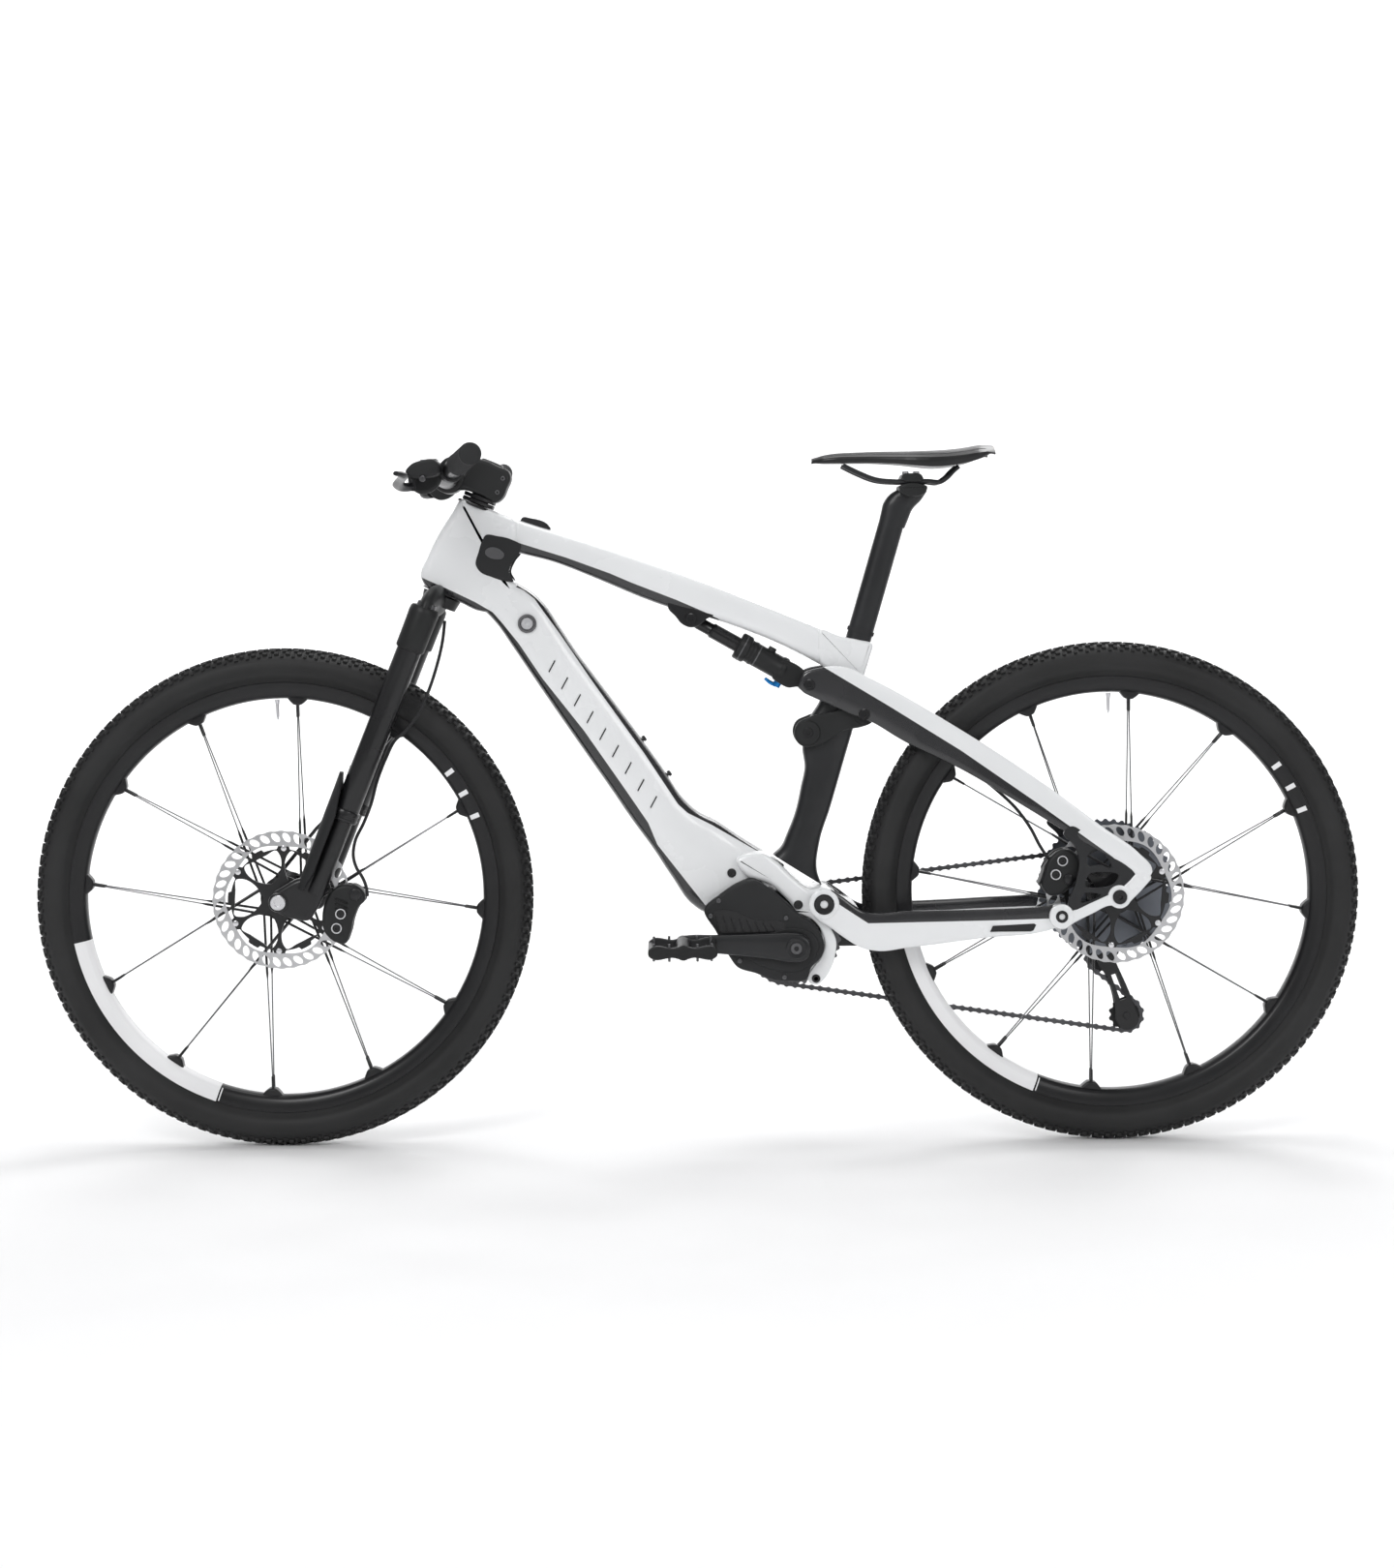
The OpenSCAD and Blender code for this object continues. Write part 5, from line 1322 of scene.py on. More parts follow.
@dataclass
class Cockpit:
    """Stem, spacers, handlebar, grips, brake housings and levers."""

    centre: tuple[float, float] = (-363.0, 986.0)
    bend_y: float = 90.0
    end: tuple[float, float, float] = (-305.0, 375.0, 1006.0)

    def at(self, side: int, along_bar: float) -> np.ndarray:
        """A point on the swept part of the bar.

        Args:
            side: -1 for the left side, 1 for the right.
            along_bar: distance out from the bend.

        Returns:
            The point.
        """
        start = np.array([self.centre[0], self.bend_y, self.centre[1]])
        d = np.array(self.end) - start
        p = start + d / np.linalg.norm(d) * along_bar
        return p * np.array([1, side, 1])

    def _swept(self, side: int, distances: tuple | list | np.ndarray) -> list[tuple[float, ...]]:
        """Several points on the swept part of the bar."""
        return [tuple(self.at(side, d)) for d in distances]

    @property
    def reach(self) -> float:
        """Length of the swept part."""
        return float(np.linalg.norm(np.array(self.end) - np.array([self.centre[0], self.bend_y, self.centre[1]])))

    def make(self) -> None:
        """Make every piece of the cockpit."""
        self.stem()
        self.bar()
        self.brakes()

    def stem(self) -> None:
        """Boxy stem with a face plate and its bolts, and the two spacers below it."""
        body = slab([(-36, 683), (-35, 703), (-14, 710), (8, 709), (26, 707), (32, 700), (33, 682), (32, 667),
                     (27, 658.5), (0, 658), (-24, 658), (-38, 654), (-44, 664)], -24, 24, 6, 120).leaned()
        clamp = disc(self.centre, 23.5, -26, 26, 3)
        join([body, clamp]).build("stem_body", CAST_BLACK, "steering", "stem")
        seam = slab([(-388, 987), (-374, 1007), (-372, 1005), (-385.5, 985)], -20, 20, 0.6, 24, smooth=False)
        bolts = [socket(p, 3.6, -26.6, 1.6) for p in ((-372, 1003), (-381, 974))]
        side = [socket((x, z), 3.4, -25.4, 1.6) for x, z in ((22, 672), (22, 694))]
        join([seam] + bolts + [b.mirrored() for b in bolts] + [s.leaned() for s in side]).build(
            "stem_bolts", GREY_METAL, "steering")
        rings = [pipe([(0, 0, z), (0, 0, z + 0.8), (0, 0, z + 5.2), (0, 0, z + 6)], [24, 25, 25, 24], 48)
                 for z in (645, 651.5)]
        cap = pipe([(-2, 0, 709), (-2, 0, 711), (-2, 0, 712)], [17, 17, 15.5], 40)
        join(rings + [cap]).leaned().build("steerer_spacer_rings", SATIN_BLACK, "steering", "steerer_spacers")

    def bar(self) -> None:
        """Bar that tapers from the clamp to the grips, and grips with rings and a domed end."""
        x, z = self.centre
        half = [(x, 0, z), (x, 34, z), (x, 60, z), (x + 1.5, 82, z + 0.5)]
        half += self._swept(1, (12, 60, 150, self.reach - 3))
        path = [(a, -b, c) for a, b, c in half[:0:-1]] + half
        radii = [17.5, 17.4, 16.5, 14.2, 13, 11.2, 11.1, 11.1]
        pipe(path, radii[:0:-1] + radii, 36, count=140).build("bar_tube", CARBON, "steering", "handlebar")
        grips, ends = [], []
        for s in (-1, 1):
            d = np.linspace(self.reach - 130, self.reach - 2, 120)
            wave = 15.0 + 0.45 * np.sign(np.sin(d * 2 * np.pi / 7.0))
            wave[:6] = 15.5
            wave[-5:] = 15.5
            grips.append(pipe(self._swept(s, d), list(wave), 40))
            for back, radii in (((2.0, 1.0, 0.4, 0.0), [15.4, 14.6, 12.5, 6.0]),
                                ((134, 133, 128, 127), [14, 16, 16, 15])):
                ends.append(pipe(self._swept(s, [self.reach - b for b in back]), radii, 40))
        join(grips).build("grip_sleeves", RUBBER, "steering", "grips", sharp=25)
        join(ends).build("grip_ends", MATT_PLASTIC, "steering")

    def brakes(self) -> None:
        """Brake housings with clamp, lid and hose stub, and curved two-finger levers."""
        outline = [(-369, 966), (-361, 980), (-360, 998), (-368, 1005), (-386, 1004), (-402, 997), (-409, 984),
                   (-407, 970), (-392, 958), (-378, 960)]
        roof = [(-369, 982), (-361, 986), (-360, 998), (-368, 1005), (-386, 1004), (-402, 997), (-408, 988),
                (-404, 982), (-388, 980)]
        for s, name in SIDES:
            y0, y1 = span(s, 150, 214)
            housing = join([slab(roof, y0, y1, 4, 100), slab(outline, *span(s, 150, 167), 5, 100)])
            collar = pipe(self._swept(s, (71, 72.5, 91.5, 93)), [16, 18, 18, 16], 36)
            boot = pipe([(-392, s * 150, 992), (-399, s * 136, 996), (-402, s * 124, 996)], [6.5, 5.5, 4.2], 20)
            lid = slab([(-366, 1000), (-388, 999), (-388, 1005.4), (-366, 1006.6)], y0 + 10, y1 - 10, 2, 40,
                       smooth=False)
            join([housing, collar, boot]).build(f"brake_housing_{name}", MATT_PLASTIC, "steering",
                                                *(["brake_masters"] if s < 0 else []))
            join([lid, socket((-384, 978), 4.4, -216.5 if s < 0 else 148)]).build(f"brake_lid_{name}", GREY_METAL,
                                                                                 "steering")
            blade = pipe([(-404, s * 178, 968), (-412, s * 188, 967), (-417, s * 204, 969), (-416, s * 232, 972),
                          (-409, s * 262, 976), (-404, s * 290, 979), (-405, s * 308, 981), (-411, s * 318, 982)],
                         [6.4, 6.6, 5.6, 4.6, 4.4, 4.6, 4.8, 3.2], 24, 1.5, 60)
            pin = pipe([(-399, s * 183, 961.5), (-399, s * 183, 979)], 3.2, 20)
            join([blade, pin]).build(f"lever_blade_{name}", CARBON, f"lever_{name}", f"brake_lever_{name}")


# ---------------------------------------------------------------- drive


@dataclass
class Drive:
    """Cranks, chainring, pedals, cassette, derailleur and chain."""

    ring: int = 36
    cog: int = 28
    jockey: int = 12

    def make(self) -> None:
        """Make every piece of the drive."""
        self.cranks()
        self.pedals()
        self.cassette()
        self.derailleur()
        self.chain()

    def cranks(self) -> None:
        """Tapered arms with a spindle boss and pedal eye, the chainring and its spider."""
        arms = []
        cx, cz = CRANK_AXIS
        for s, y in ((-1, -76), (1, 76)):
            edges = [[(cx + s * d, cz + h) for d, h in edge] for edge in (
                [(-21, 4), (-17, 14), (-8, 20), (10, 21.5), (34, 20), (70, 17), (120, 13.5), (158, 11.5), (170, 9),
                 (176, 3)],
                [(-21, -4), (-17, -14), (-8, -20), (10, -21), (34, -18), (70, -15.5), (120, -13), (158, -11.5),
                 (170, -9), (176, -3)])]
            arms.append(loft(*edges, [y, y, y * 1.02, y * 1.02], [7.6, 7.4, 6.6, 6.2], 3.2, 80, 36, nose=0.02))
            eye = (cx + s * CRANK_LENGTH, cz)
            y0, y1 = span(s, 70.5, 84.4)
            arms.append(lathe([(6.2, y0), (9.4, y0), (10.4, y0 + 1.2), (10.4, y1 - 1), (6.2, y1)], eye, 36,
                              closed=True))
            arms.append(lathe([(9, y0 + 1), (9, y0 + 0.2), (14, y0 - 0.2), (15.6, y0 + 1), (15.6, y1), (9, y1)],
                              CRANK_AXIS, 44, closed=True))
        arms.append(disc(CRANK_AXIS, 12, -84, 84))
        join(arms).turned(-math.degrees(CRANK_TURN), CRANK_AXIS).build("crank_arm_pair", CARBON, "cranks", "crank_arms")
        pins = [disc((cx - CRANK_LENGTH, cz), 4.9, -178, -84), disc((cx + CRANK_LENGTH, cz), 4.9, 84, 178)]
        pins += [lathe([(3.6, -85.2), (3.6, -86.4), (8, -86.4), (8.6, -85.4), (8.6, -84), (3.6, -84)], CRANK_AXIS, 40,
                       closed=True)]
        join(pins).turned(-math.degrees(CRANK_TURN), CRANK_AXIS).build("pedal_axles", GREY_METAL, "cranks")
        holes = [circle(CRANK_AXIS, 12, 30)] + ring_of_holes(CRANK_AXIS, 41, 11.5, 6, 20)
        half_tooth = 180 / self.ring
        pierced(toothed(CRANK_AXIS, self.ring, half_tooth), holes, CHAIN_Y - 1.3, CHAIN_Y + 1.3).build(
            "chainring_plate", GREY_METAL, "cranks", "chainring")

    def pedals(self) -> None:
        """Open cage pedals: a rim, cross bars, bearing barrel and grip pins."""
        edge = [(-49, -5), (-44, -8.5), (-14, -7), (0, -10), (14, -7), (43, -8.5), (47.5, -5), (47.5, 5), (43, 8.5),
                (14, 7), (0, 10), (-14, 7), (-44, 8.5), (-49, 5)]
        for s, name in SIDES:
            cx = CRANK_AXIS[0] + s * CRANK_LENGTH * math.cos(CRANK_TURN)
            cz = CRANK_AXIS[1] - s * CRANK_LENGTH * math.sin(CRANK_TURN)
            y0, y1 = span(s, 88, 186)
            bars = []
            for y in (y0 + 6, y1 - 6):
                bars.append(slab([(cx + u, cz + v) for u, v in edge], y - 4.5, y + 4.5, 2.5, 90))
            for x in (-45.5, 43.5):
                bars.append(pipe([(cx + x, y0 + 5, cz), (cx + x, (y0 + y1) / 2, cz), (cx + x, y1 - 5, cz)], 4.8, 16))
            bars.append(lathe([(5.1, y0 + 2), (10.6, y0 + 2), (11.4, y0 + 8), (9.4, (y0 + y1) / 2), (11.4, y1 - 8),
                               (10.6, y1 - 2), (5.1, y1 - 2)], (cx, cz), 32, closed=True))
            join(bars).build(f"pedal_cage_{name}", CAST_BLACK, f"{name}_pedal", f"pedal_{name}")
            pins = [pipe([(cx + x, y, cz + h) for h in (-12.5, -12, 12, 12.5)], [1.2, 1.9, 1.9, 1.2], 10)
                    for x, ys in ((-42, (0.1, 0.9)), (-20, (0.06, 0.94)), (20, (0.06, 0.94)), (40, (0.1, 0.9)))
                    for y in (y0 + 98 * ys[0], y0 + 98 * ys[1])]
            join(pins).build(f"pedal_pins_{name}", GREY_METAL, f"{name}_pedal")

    def cassette(self) -> None:
        """Twelve toothed cogs, the large ones opened by round windows, on a splined body."""
        axle = (REAR_AXLE[0], REAR_AXLE[2])
        cogs = []
        for i, teeth in enumerate((50, 46, 42, 38, 34, 31, 28, 24, 20, 16, 13, 10)):
            y = 33 + 3.2 * i
            holes = [circle(axle, 17 if teeth > 12 else 15, 30)]
            if teeth > 26:
                holes += ring_of_holes(axle, PITCH * teeth / FULL_TURN - 13, 4.6, 10, 12, 0.2 * i)
            cogs.append(pierced(toothed(axle, teeth, 180 / teeth + 2 * i, 4.0), holes, y, y + 1.7))
        cogs.append(lathe([(14.2, 33), (17.2, 33), (17.2, 66), (15.4, 67), (15.4, 71), (14.2, 71)], axle, 48,
                          closed=True))
        join(cogs).build("cassette_cogs", COG_STEEL, "sprockets", "cassette")

    def derailleur(self) -> None:
        """Hanger, knuckle, toothed jockey wheels and two cage plates."""
        hanger = [(600, 361), (611, 364), (622, 360), (627, 330), (626, 300), (614, 291), (600, 300), (597, 330)]
        knuckle = [(599, 318), (612, 322), (622, 316), (623, 292), (620, 268), (612, 249), (602, 247), (594, 254),
                   (593, 274), (596, 300)]
        join([slab(hanger, 90, 96, 2, 90), slab(knuckle, 66, 92, 6, 100)]).build("derailleur_knuckle", CAST_BLACK,
                                                                                 "seatstays", "derailleur_body")
        g, t = np.array(GUIDE_WHEEL), np.array(TENSION_WHEEL)
        d = (t - g) / np.linalg.norm(t - g)
        n = np.array([-d[1], d[0]])
        span = float(np.linalg.norm(t - g))
        edge, gap = (np.array([g + a * d + b * n for a, b in points]) for points in (
            [(-14, -4), (-15, 4), (-6, 13), (20, 15), (span - 8, 16), (span + 16, 13), (span + 22, 0), (span + 18, -12),
             (span, -17), (span - 20, -10), (28, -6), (4, -11)],
            [(30, 1), (span - 24, 0), (span - 24, 9), (30, 9)]))
        plates = [pierced(spline(edge, 90, closed=True), [gap], y, y + 1.9) for y in (CHAIN_Y - 9, CHAIN_Y + 6.6)]
        pins = [lathe([(0.8, CHAIN_Y - 10.6), (4.6, CHAIN_Y - 10.6), (5.2, CHAIN_Y - 9), (2.9, CHAIN_Y - 8.6),
                       (2.9, CHAIN_Y + 8.6), (0.8, CHAIN_Y + 8.8)], c, 24) for c in (GUIDE_WHEEL, TENSION_WHEEL)]
        join(plates + pins + [disc(GUIDE_WHEEL, 3.9, CHAIN_Y + 8.6, 79)]).build(
            "derailleur_cage_plates", SATIN_BLACK, "cage", "derailleur_cage")
        for c, node, body in ((GUIDE_WHEEL, "guide_wheel", "upper_pulley"),
                              (TENSION_WHEEL, "tension_wheel", "lower_pulley")):
            holes = [circle(c, 3.1, 16)] + ring_of_holes(c, 11, 3.0, 5, 12)
            pierced(toothed(c, self.jockey, 15, 3.6), holes, CHAIN_Y - 1.2, CHAIN_Y + 1.2).build(
                f"{node}_teeth", MATT_PLASTIC, body, node)

    def _route(self) -> np.ndarray:
        """The chain's pitch line as closely spaced points in x and z.

        Returns:
            Points from the top of the chainring over the cog, the two wheels and back: a straight
            line between two touching points, and an arc of the pitch radius on each wheel.
        """
        ring, cog, jockey = (PITCH * teeth / FULL_TURN for teeth in (self.ring, self.cog, self.jockey))
        crank, axle = np.array(CRANK_AXIS), np.array([REAR_AXLE[0], REAR_AXLE[2]])
        guide, tension = np.array(GUIDE_WHEEL), np.array(TENSION_WHEEL)

        def angle(c1: np.ndarray, c2: np.ndarray, lift: float, side: int) -> float:
            """Angle of the touching radius between two wheels, for a given sum or difference of radii."""
            d = c2 - c1
            return math.atan2(d[1], d[0]) + side * math.acos(lift / np.linalg.norm(d))

        def arc(c: np.ndarray, r: float, a0: float, a1: float) -> np.ndarray:
            """Points of an arc from one angle to another."""
            a = np.linspace(a0, a1, max(3, int(abs(a1 - a0) * r / 2)))
            return c + r * np.column_stack([np.cos(a), np.sin(a)])

        top = angle(crank, axle, ring - cog, 1)
        off = angle(axle, guide, cog + jockey, 1)
        mid = angle(guide, tension, 2 * jockey, -1)
        low = angle(tension, crank, jockey - ring, 1)
        return np.vstack([arc(axle, cog, top, off), arc(guide, jockey, off + math.pi, mid + FULL_TURN),
                          arc(tension, jockey, mid + math.pi, low - FULL_TURN), arc(crank, ring, low, top)])

    @staticmethod
    def _link(plate_y: float, half_width: float, radius: float) -> Shell:
        """One link: a waisted plate on each side, and a pin or roller at its rear end.

        Args:
            plate_y: distance of each plate's middle from the chain's middle.
            half_width: half the width of the pin or roller.
            radius: its radius.

        Returns:
            The link, with its x along the chain.
        """
        h = PITCH / 2
        side = [(-h - 2.7, 3.2), (-h, 4.2), (-2.2, 2.4), (2.2, 2.4), (h, 4.2), (h + 2.7, 3.2)]
        shape = np.array([(-h - 4.0, 0)] + side + [(h + 4.0, 0)] + [(x, -z) for x, z in side[::-1]], dtype=float)
        plates = [pierced(shape, [], y - 0.45, y + 0.45) for y in (-plate_y, plate_y)]
        return join(plates + [lathe([(radius, -half_width), (radius, half_width)], (-h, 0), 10)])

    def chain(self) -> None:
        """Links along the route: outer and inner plates in turn, with a roller at each pin.

        Each link's frame has its x along the chord between two pins.
        """
        route = self._route()
        loop = np.vstack([route, route[:1]])
        s = np.concatenate([[0], np.cumsum(np.linalg.norm(np.diff(loop, axis=0), axis=1))])
        count = int(round(s[-1] / PITCH / 2)) * 2
        where = np.linspace(0, s[-1], count, endpoint=False)
        pins = np.column_stack([np.interp(where, s, loop[:, k]) for k in (0, 1)])
        nxt = np.roll(pins, -1, axis=0)
        chord = nxt - pins
        chord /= np.linalg.norm(chord, axis=1)[:, None]
        axes = np.zeros((count, 3, 3))
        axes[:, 0, 0], axes[:, 0, 2] = chord[:, 0], chord[:, 1]
        axes[:, 1, 1] = 1
        axes[:, 2, 0], axes[:, 2, 2] = -chord[:, 1], chord[:, 0]
        places = np.column_stack([(pins + nxt)[:, 0] / 2, np.full(count, CHAIN_Y), (pins + nxt)[:, 1] / 2])
        outer, inner = self._link(2.75, 3.4, 1.7), self._link(1.8, 1.3, 3.6)
        odd = np.arange(count) % 2 == 1
        mid_x, mid_z = places[:, 0], places[:, 2]
        stay_x, cage_x, low_z = 336.0, 570.0, 272.0
        groups = {
            "front": mid_x < stay_x,
            "upper": (mid_x >= stay_x) & ~((mid_z < 300) & (mid_x < 600)) & (mid_z > low_z),
            "lower": (mid_x >= stay_x) & (mid_x < cage_x) & (mid_z < low_z),
            "tail": (mid_x >= cage_x) & (mid_z <= low_z),
        }
        for name, chosen in groups.items():
            parts = [repeat(link, axes[pick], places[pick]) for link, pick in
                     ((outer, chosen & odd), (inner, chosen & ~odd)) if pick.any()]
            piece = join(parts).build(f"chain_{name}", CHAIN_STEEL, "", *(["chain"] if name == "front" else []),
                                      closed=False)
            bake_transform(piece)


# ---------------------------------------------------------------- seat and rear brake


@dataclass
class Seat:
    """Dropper post, rail clamp, rails and padded saddle."""

    body: str = "seat"
    lean: float = 16.4
    post_base: tuple[float, float] = (240.0, 738.0)
    post_half: tuple[float, float] = (18.8, 14.8)
    clamp_half: float = 29.0
    bolt_x: tuple[float, float] = (313.0, 329.0)
    rail_radius: float = 3.6

    def make(self) -> None:
        """Make every piece of the seat."""
        self.post()
        self.saddle()

    def post(self) -> None:
        """Oval post lofted along its axis, its head with a clamp, and the bolt."""
        lean = math.radians(self.lean)
        u, n = np.array([math.sin(lean), math.cos(lean)]), np.array([math.cos(lean), -math.sin(lean)])
        base = np.array(self.post_base)
        depth, width = self.post_half
        front, back = ([tuple(base + k * u + n * side) for k in (-128, -60, 0, 60, 120, 176, 190)]
                       for side in (-depth, depth))
        tube = loft(front, back, 0, width, 2.3, 60, 44)
        neck = loft([(273, 916), (276, 929), (281, 946), (290, 957), (301, 964)],
                    [(311, 906), (316, 918), (323, 934), (336, 948), (345, 961)], 0, [14.6, 14.4, 14.2, 15], 2.4, 50,
                    40)
        join([tube, neck]).build("dropper_post", CARBON, self.body, "seatpost")
        lower = slab([(302, 961), (302, 968), (306, 970.2), (338, 970.2), (343, 967), (342, 961)], -self.clamp_half,
                     self.clamp_half, 3, 80)
        upper = slab([(305, 980), (307, 985), (320, 987), (334, 985), (337, 980)], -self.clamp_half, self.clamp_half,
                     1.6, 80)
        bolts = [pipe([(x, 0, 950), (x, 0, 989)], 2.9, 18) for x in self.bolt_x]
        heads = [pipe([(x, 0, 986.5), (x, 0, 990), (x, 0, 990.6)], [5, 5, 4], 24) for x in self.bolt_x]
        join([lower, upper] + bolts).build("rail_clamp", CAST_BLACK, self.body)
        join(heads).build("clamp_bolt_heads", SILVER, self.body)
        lip = [(base + k * u) for k in (14, 20)]
        wall = 1.6
        edges = [[tuple(p + n * side) for p in lip] for side in (-depth - wall, depth + wall)]
        collar = loft(*edges, 0, 16.6, 2.3, 8, 44)
        collar.build("post_wiper_ring", RUBBER, "frame")

    def saddle(self) -> None:
        """Saddle body, shell edge and rails.

        The upper face: x runs from nose to tail, and across the half width w(x) the height is
        crown(x) minus drop(x) times (side / w) to the power 2.4; a shallow channel lies along the
        middle. The under face is the same line lowered to a thin shell.
        """
        x = np.linspace(174, 441, 110)
        crown = np.interp(x, [174, 182, 210, 267, 320, 369, 400, 425, 441],
                          [1008.5, 1014, 1018.5, 1020.4, 1020.6, 1022, 1025, 1030, 1027])
        under = np.interp(x, [174, 182, 262, 300, 350, 369, 397, 418, 436, 441],
                          [1004.5, 1003, 1003, 1001, 995.5, 996, 1000, 1006, 1014, 1020])
        wide = np.interp(x, [174, 178, 200, 270, 320, 350, 380, 405, 425, 436, 441],
                         [5, 11, 18.5, 24, 33, 48, 63, 70.5, 69, 60, 44])
        crown, under, wide = self._smooth(crown), self._smooth(under), self._smooth(wide)
        t = np.linspace(-1, 1, 49)
        drop = np.interp(x, [174, 267, 369, 441], [5.5, 9, 12, 13])
        channel = 1.6 * np.exp(-((t / 0.16) ** 2))[None] * np.interp(x, [200, 250, 380, 420], [0, 1, 1, 0])[:, None]
        top_z = crown[:, None] - drop[:, None] * np.abs(t)[None] ** 2.6 - channel
        low_z = np.minimum(under[:, None] + 2.5 * (1 - np.abs(t)[None] ** 2), top_z - 2.2)
        yy = wide[:, None] * t[None]
        xx = np.repeat(x[:, None], len(t), axis=1)
        under_share = 0.96
        top = np.stack([xx, yy, top_z], -1)
        low = np.stack([xx, yy * under_share, low_z], -1)[:, ::-1]
        edge = np.stack([x, wide + 0.6, (top_z[:, -1] + low_z[:, -1]) / 2], -1)[:, None]
        other = edge * np.array([1.0, -1.0, 1.0])
        shell = woven(np.concatenate([top, edge, low, other], axis=1), False, True, caps=True)
        pad = shell.build("saddle_cover", SADDLE_SKIN, self.body, "saddle_pad", sharp=50)
        seams = []
        for s in (-1, 1):
            line = np.column_stack([x[8:-6], s * wide[8:-6] * 0.80, (crown - drop * 0.80**2.6)[8:-6] + 0.1])
            seams.append(pipe(line, 0.45, 8))
        join(seams).build("saddle_piping", GREY_METAL, self.body)
        rails = []
        for s, _ in SIDES:
            line = [(219, 20, 999.5), (240, 21.5, 989), (268, 22, 978), (296, 22, 975), (320, 22, 975), (346, 22, 975),
                    (362, 22, 974), (372, 22, 980), (382, 22, 990), (390, 22, 997)]
            rails.append(pipe([(a, s * b, c) for a, b, c in line], self.rail_radius, 20, count=70))
        join(rails).build("saddle_rail_bars", CARBON, self.body, "saddle_rails")

    @staticmethod
    def _smooth(values: np.ndarray, reach: int = 5) -> np.ndarray:
        """Running mean over the given number of neighbours on each side."""
        window = np.ones(2 * reach + 1) / (2 * reach + 1)
        return np.convolve(np.pad(values, reach, mode="edge"), window, "valid")


@dataclass
class RearBrake:
    """Rear caliper with its bolts and hose stub."""

    body: str = "seatstays"
    bolts: tuple[tuple[float, float], ...] = ((531, 419), (521, 399))

    def make(self) -> None:
        """Make the caliper halves, bridge, bolts and hose."""
        outline = [(501, 382), (505, 402), (512, 421), (524, 432), (536, 436), (550, 430), (557, 418), (556, 400),
                   (545, 382), (530, 370), (513, 368)]
        halves = [slab(outline, -71, -53.5, 5, 120), slab(outline, -46.3, -36.8, 3, 120)]
        bridge = slab([(503, 388), (508, 410), (516, 424), (506, 408), (500, 392), (497, 384)], -68, -37.5, 2, 60)
        foot = slab([(551, 385), (558, 390), (566, 391), (566, 377), (558, 371), (550, 367)], -81, -66, 2, 50)
        join(halves + [bridge, foot]).build("rear_caliper_body", CAST_BLACK, self.body, "rear_caliper")
        join([socket(p, 5.8, -75) for p in self.bolts] + [disc((540, 392), 7.5, -74, -70, 1.5)]).build(
            "rear_caliper_bolts", SATIN_BLACK, self.body)
        piston_rings(self.bolts, -74).build("rear_piston_rings", SILVER, self.body)
        pipe([(512, -60, 421), (500, -58, 440), (489, -56, 462), (470, -54, 490), (440, -50, 520), (400, -46, 552)],
             HOSE_RADIUS, 14, count=40).build("rear_brake_hose", RUBBER, self.body)


# ---------------------------------------------------------------- stage


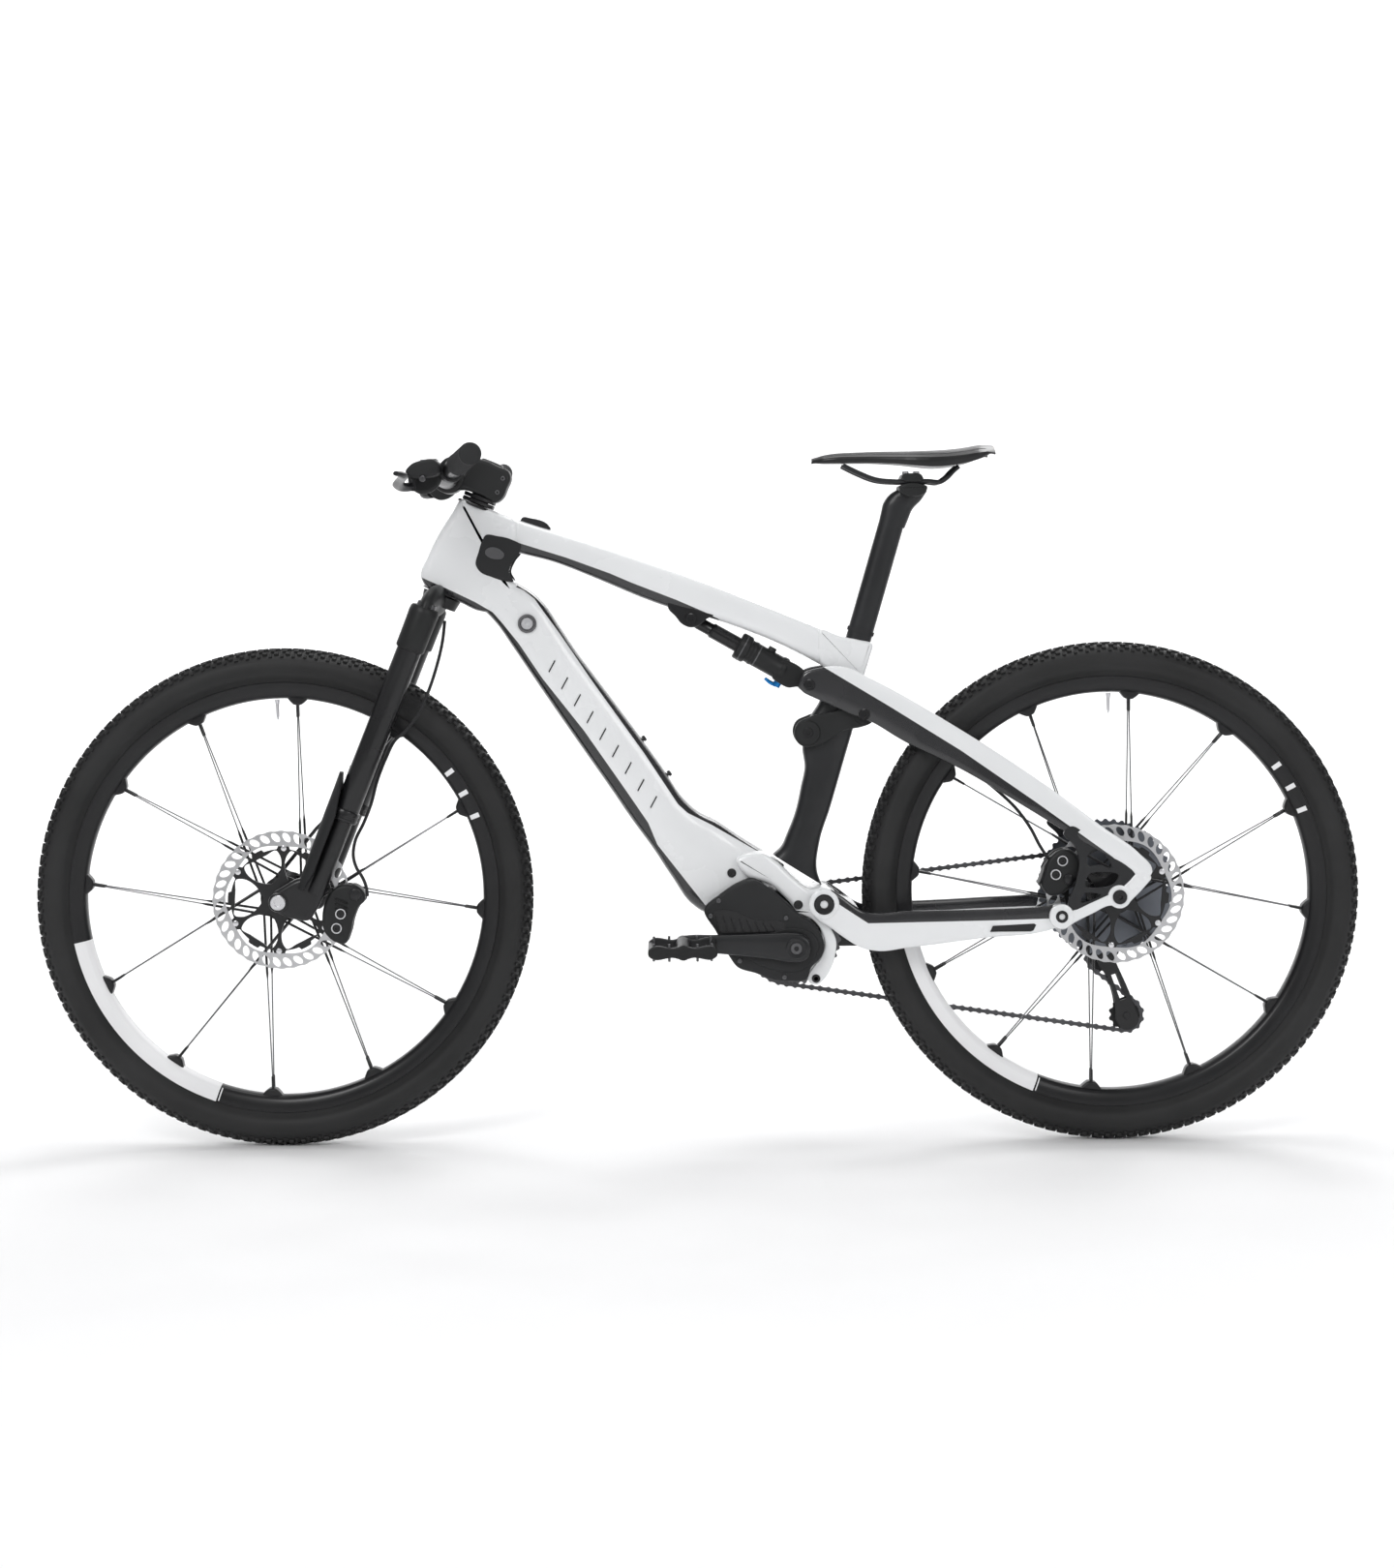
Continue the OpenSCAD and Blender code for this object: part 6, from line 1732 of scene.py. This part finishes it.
@dataclass
class Stage:
    """Camera, soft studio light, pale floor and backdrop."""

    distance: float = 4.0
    eye: tuple[float, float] = (-0.0445, 0.8457)
    lens: float = 61.91
    roll: float = 0.458

    def make(self) -> None:
        """Set up the camera, the lights and the floor."""
        self.camera()
        self.lights()
        self.floor()

    def camera(self) -> None:
        """Camera square to the bike's left side, with its shift for the framing."""
        data = bpy.data.cameras.new("camera")
        data.lens = self.lens
        data.sensor_width = 36.0
        data.shift_x, data.shift_y = 0.0204, -0.1358
        data.clip_end = 60
        cam = put("camera", data)
        cam.location = (self.eye[0], -self.distance, self.eye[1])
        cam.rotation_euler = (math.radians(90), math.radians(self.roll), 0)
        bpy.context.scene.camera = cam
        bpy.context.scene.view_settings.view_transform = "Standard"

    def lights(self) -> None:
        """Large soft lights above, in front and at both ends, and an even pale world."""
        spots = (("key", (-2.2, -4.6, 3.9), (0, 0, 0.6), 118.0, 2.2),
                 ("fill", (3.0, -4.4, 2.6), (0, 0, 0.6), 46.0, 2.2),
                 ("top", (0.0, 0.6, 4.2), (0, 0, 0), 66.0, 2.4),
                 ("rim", (1.5, 3.2, 3.6), (0, 0, 0.6), 40.0, 1.6),
                 ("wall_left", (-4.0, 4.6, 4.6), (-2.0, 8.0, 1.5), 210.0, 3.0),
                 ("wall_right", (4.0, 4.6, 4.6), (2.0, 8.0, 1.5), 210.0, 3.0))
        for name, place, aim, power, size in spots:
            data = bpy.data.lights.new(name, "AREA")
            data.energy, data.size = power, size
            lamp = put(name, data)
            lamp.location = place
            lamp.rotation_euler = (Vector(aim) - Vector(place)).to_track_quat("-Z", "Y").to_euler()
        world = bpy.data.worlds.new("studio")
        world.use_nodes = True
        sky = world.node_tree.nodes["Background"]
        sky.inputs["Color"].default_value, sky.inputs["Strength"].default_value = (0.96, 0.965, 0.97, 1), 0.40
        bpy.context.scene.world = world

    def floor(self) -> None:
        """Pale floor that curves up into a backdrop far behind: a strip swept across the scene."""
        run = np.array([(-9.0, 0.0), (6.0, 0.0), (7.0, 0.12), (7.7, 0.6), (8.0, 1.4), (8.0, 7.0)])
        y, z = spline(run, 60).T
        x = np.linspace(-14, 14, 20)
        grid = np.stack([np.tile(x, (60, 1)), np.repeat(y[:, None], 20, axis=1),
                         np.repeat(np.maximum(z, 0)[:, None], 20, axis=1)], -1) / MM
        shell = woven(grid, False, False)
        pale = Finish("studio_floor", "white_frame", (0.93, 0.93, 0.935), 0.7, scale=60, bump=0.0, tint=0.004)
        mesh = bpy.data.meshes.new("studio_floor")
        mesh.from_pydata((shell.points * MM).tolist(), [], shell.quads.tolist())
        mesh.materials.append(pale.material())
        put("studio_floor", mesh)


def main() -> None:
    logging.basicConfig(level=logging.INFO, format="%(name)s: %(message)s")
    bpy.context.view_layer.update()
    Stage().make()
    x, z = FRONT_AXLE[0], FRONT_AXLE[2]
    Wheel("front", (x, z), "front_wheel", -4, (192, 251), (22, 29, 36), -43, 27, 24, 30, 54.5, 7.6).make()
    x, z = REAR_AXLE[0], REAR_AXLE[2]
    Wheel("rear", (x, z), "rear_wheel", -6, (189, 248), (22, 29, 36), -50, 25, 28, 20, 73.0, 6.1).make()
    FrontFrame().make()
    RearEnd().make()
    Fork().make()
    Cockpit().make()
    Drive().make()
    Seat().make()
    RearBrake().make()


if __name__ == "__main__":
    main()
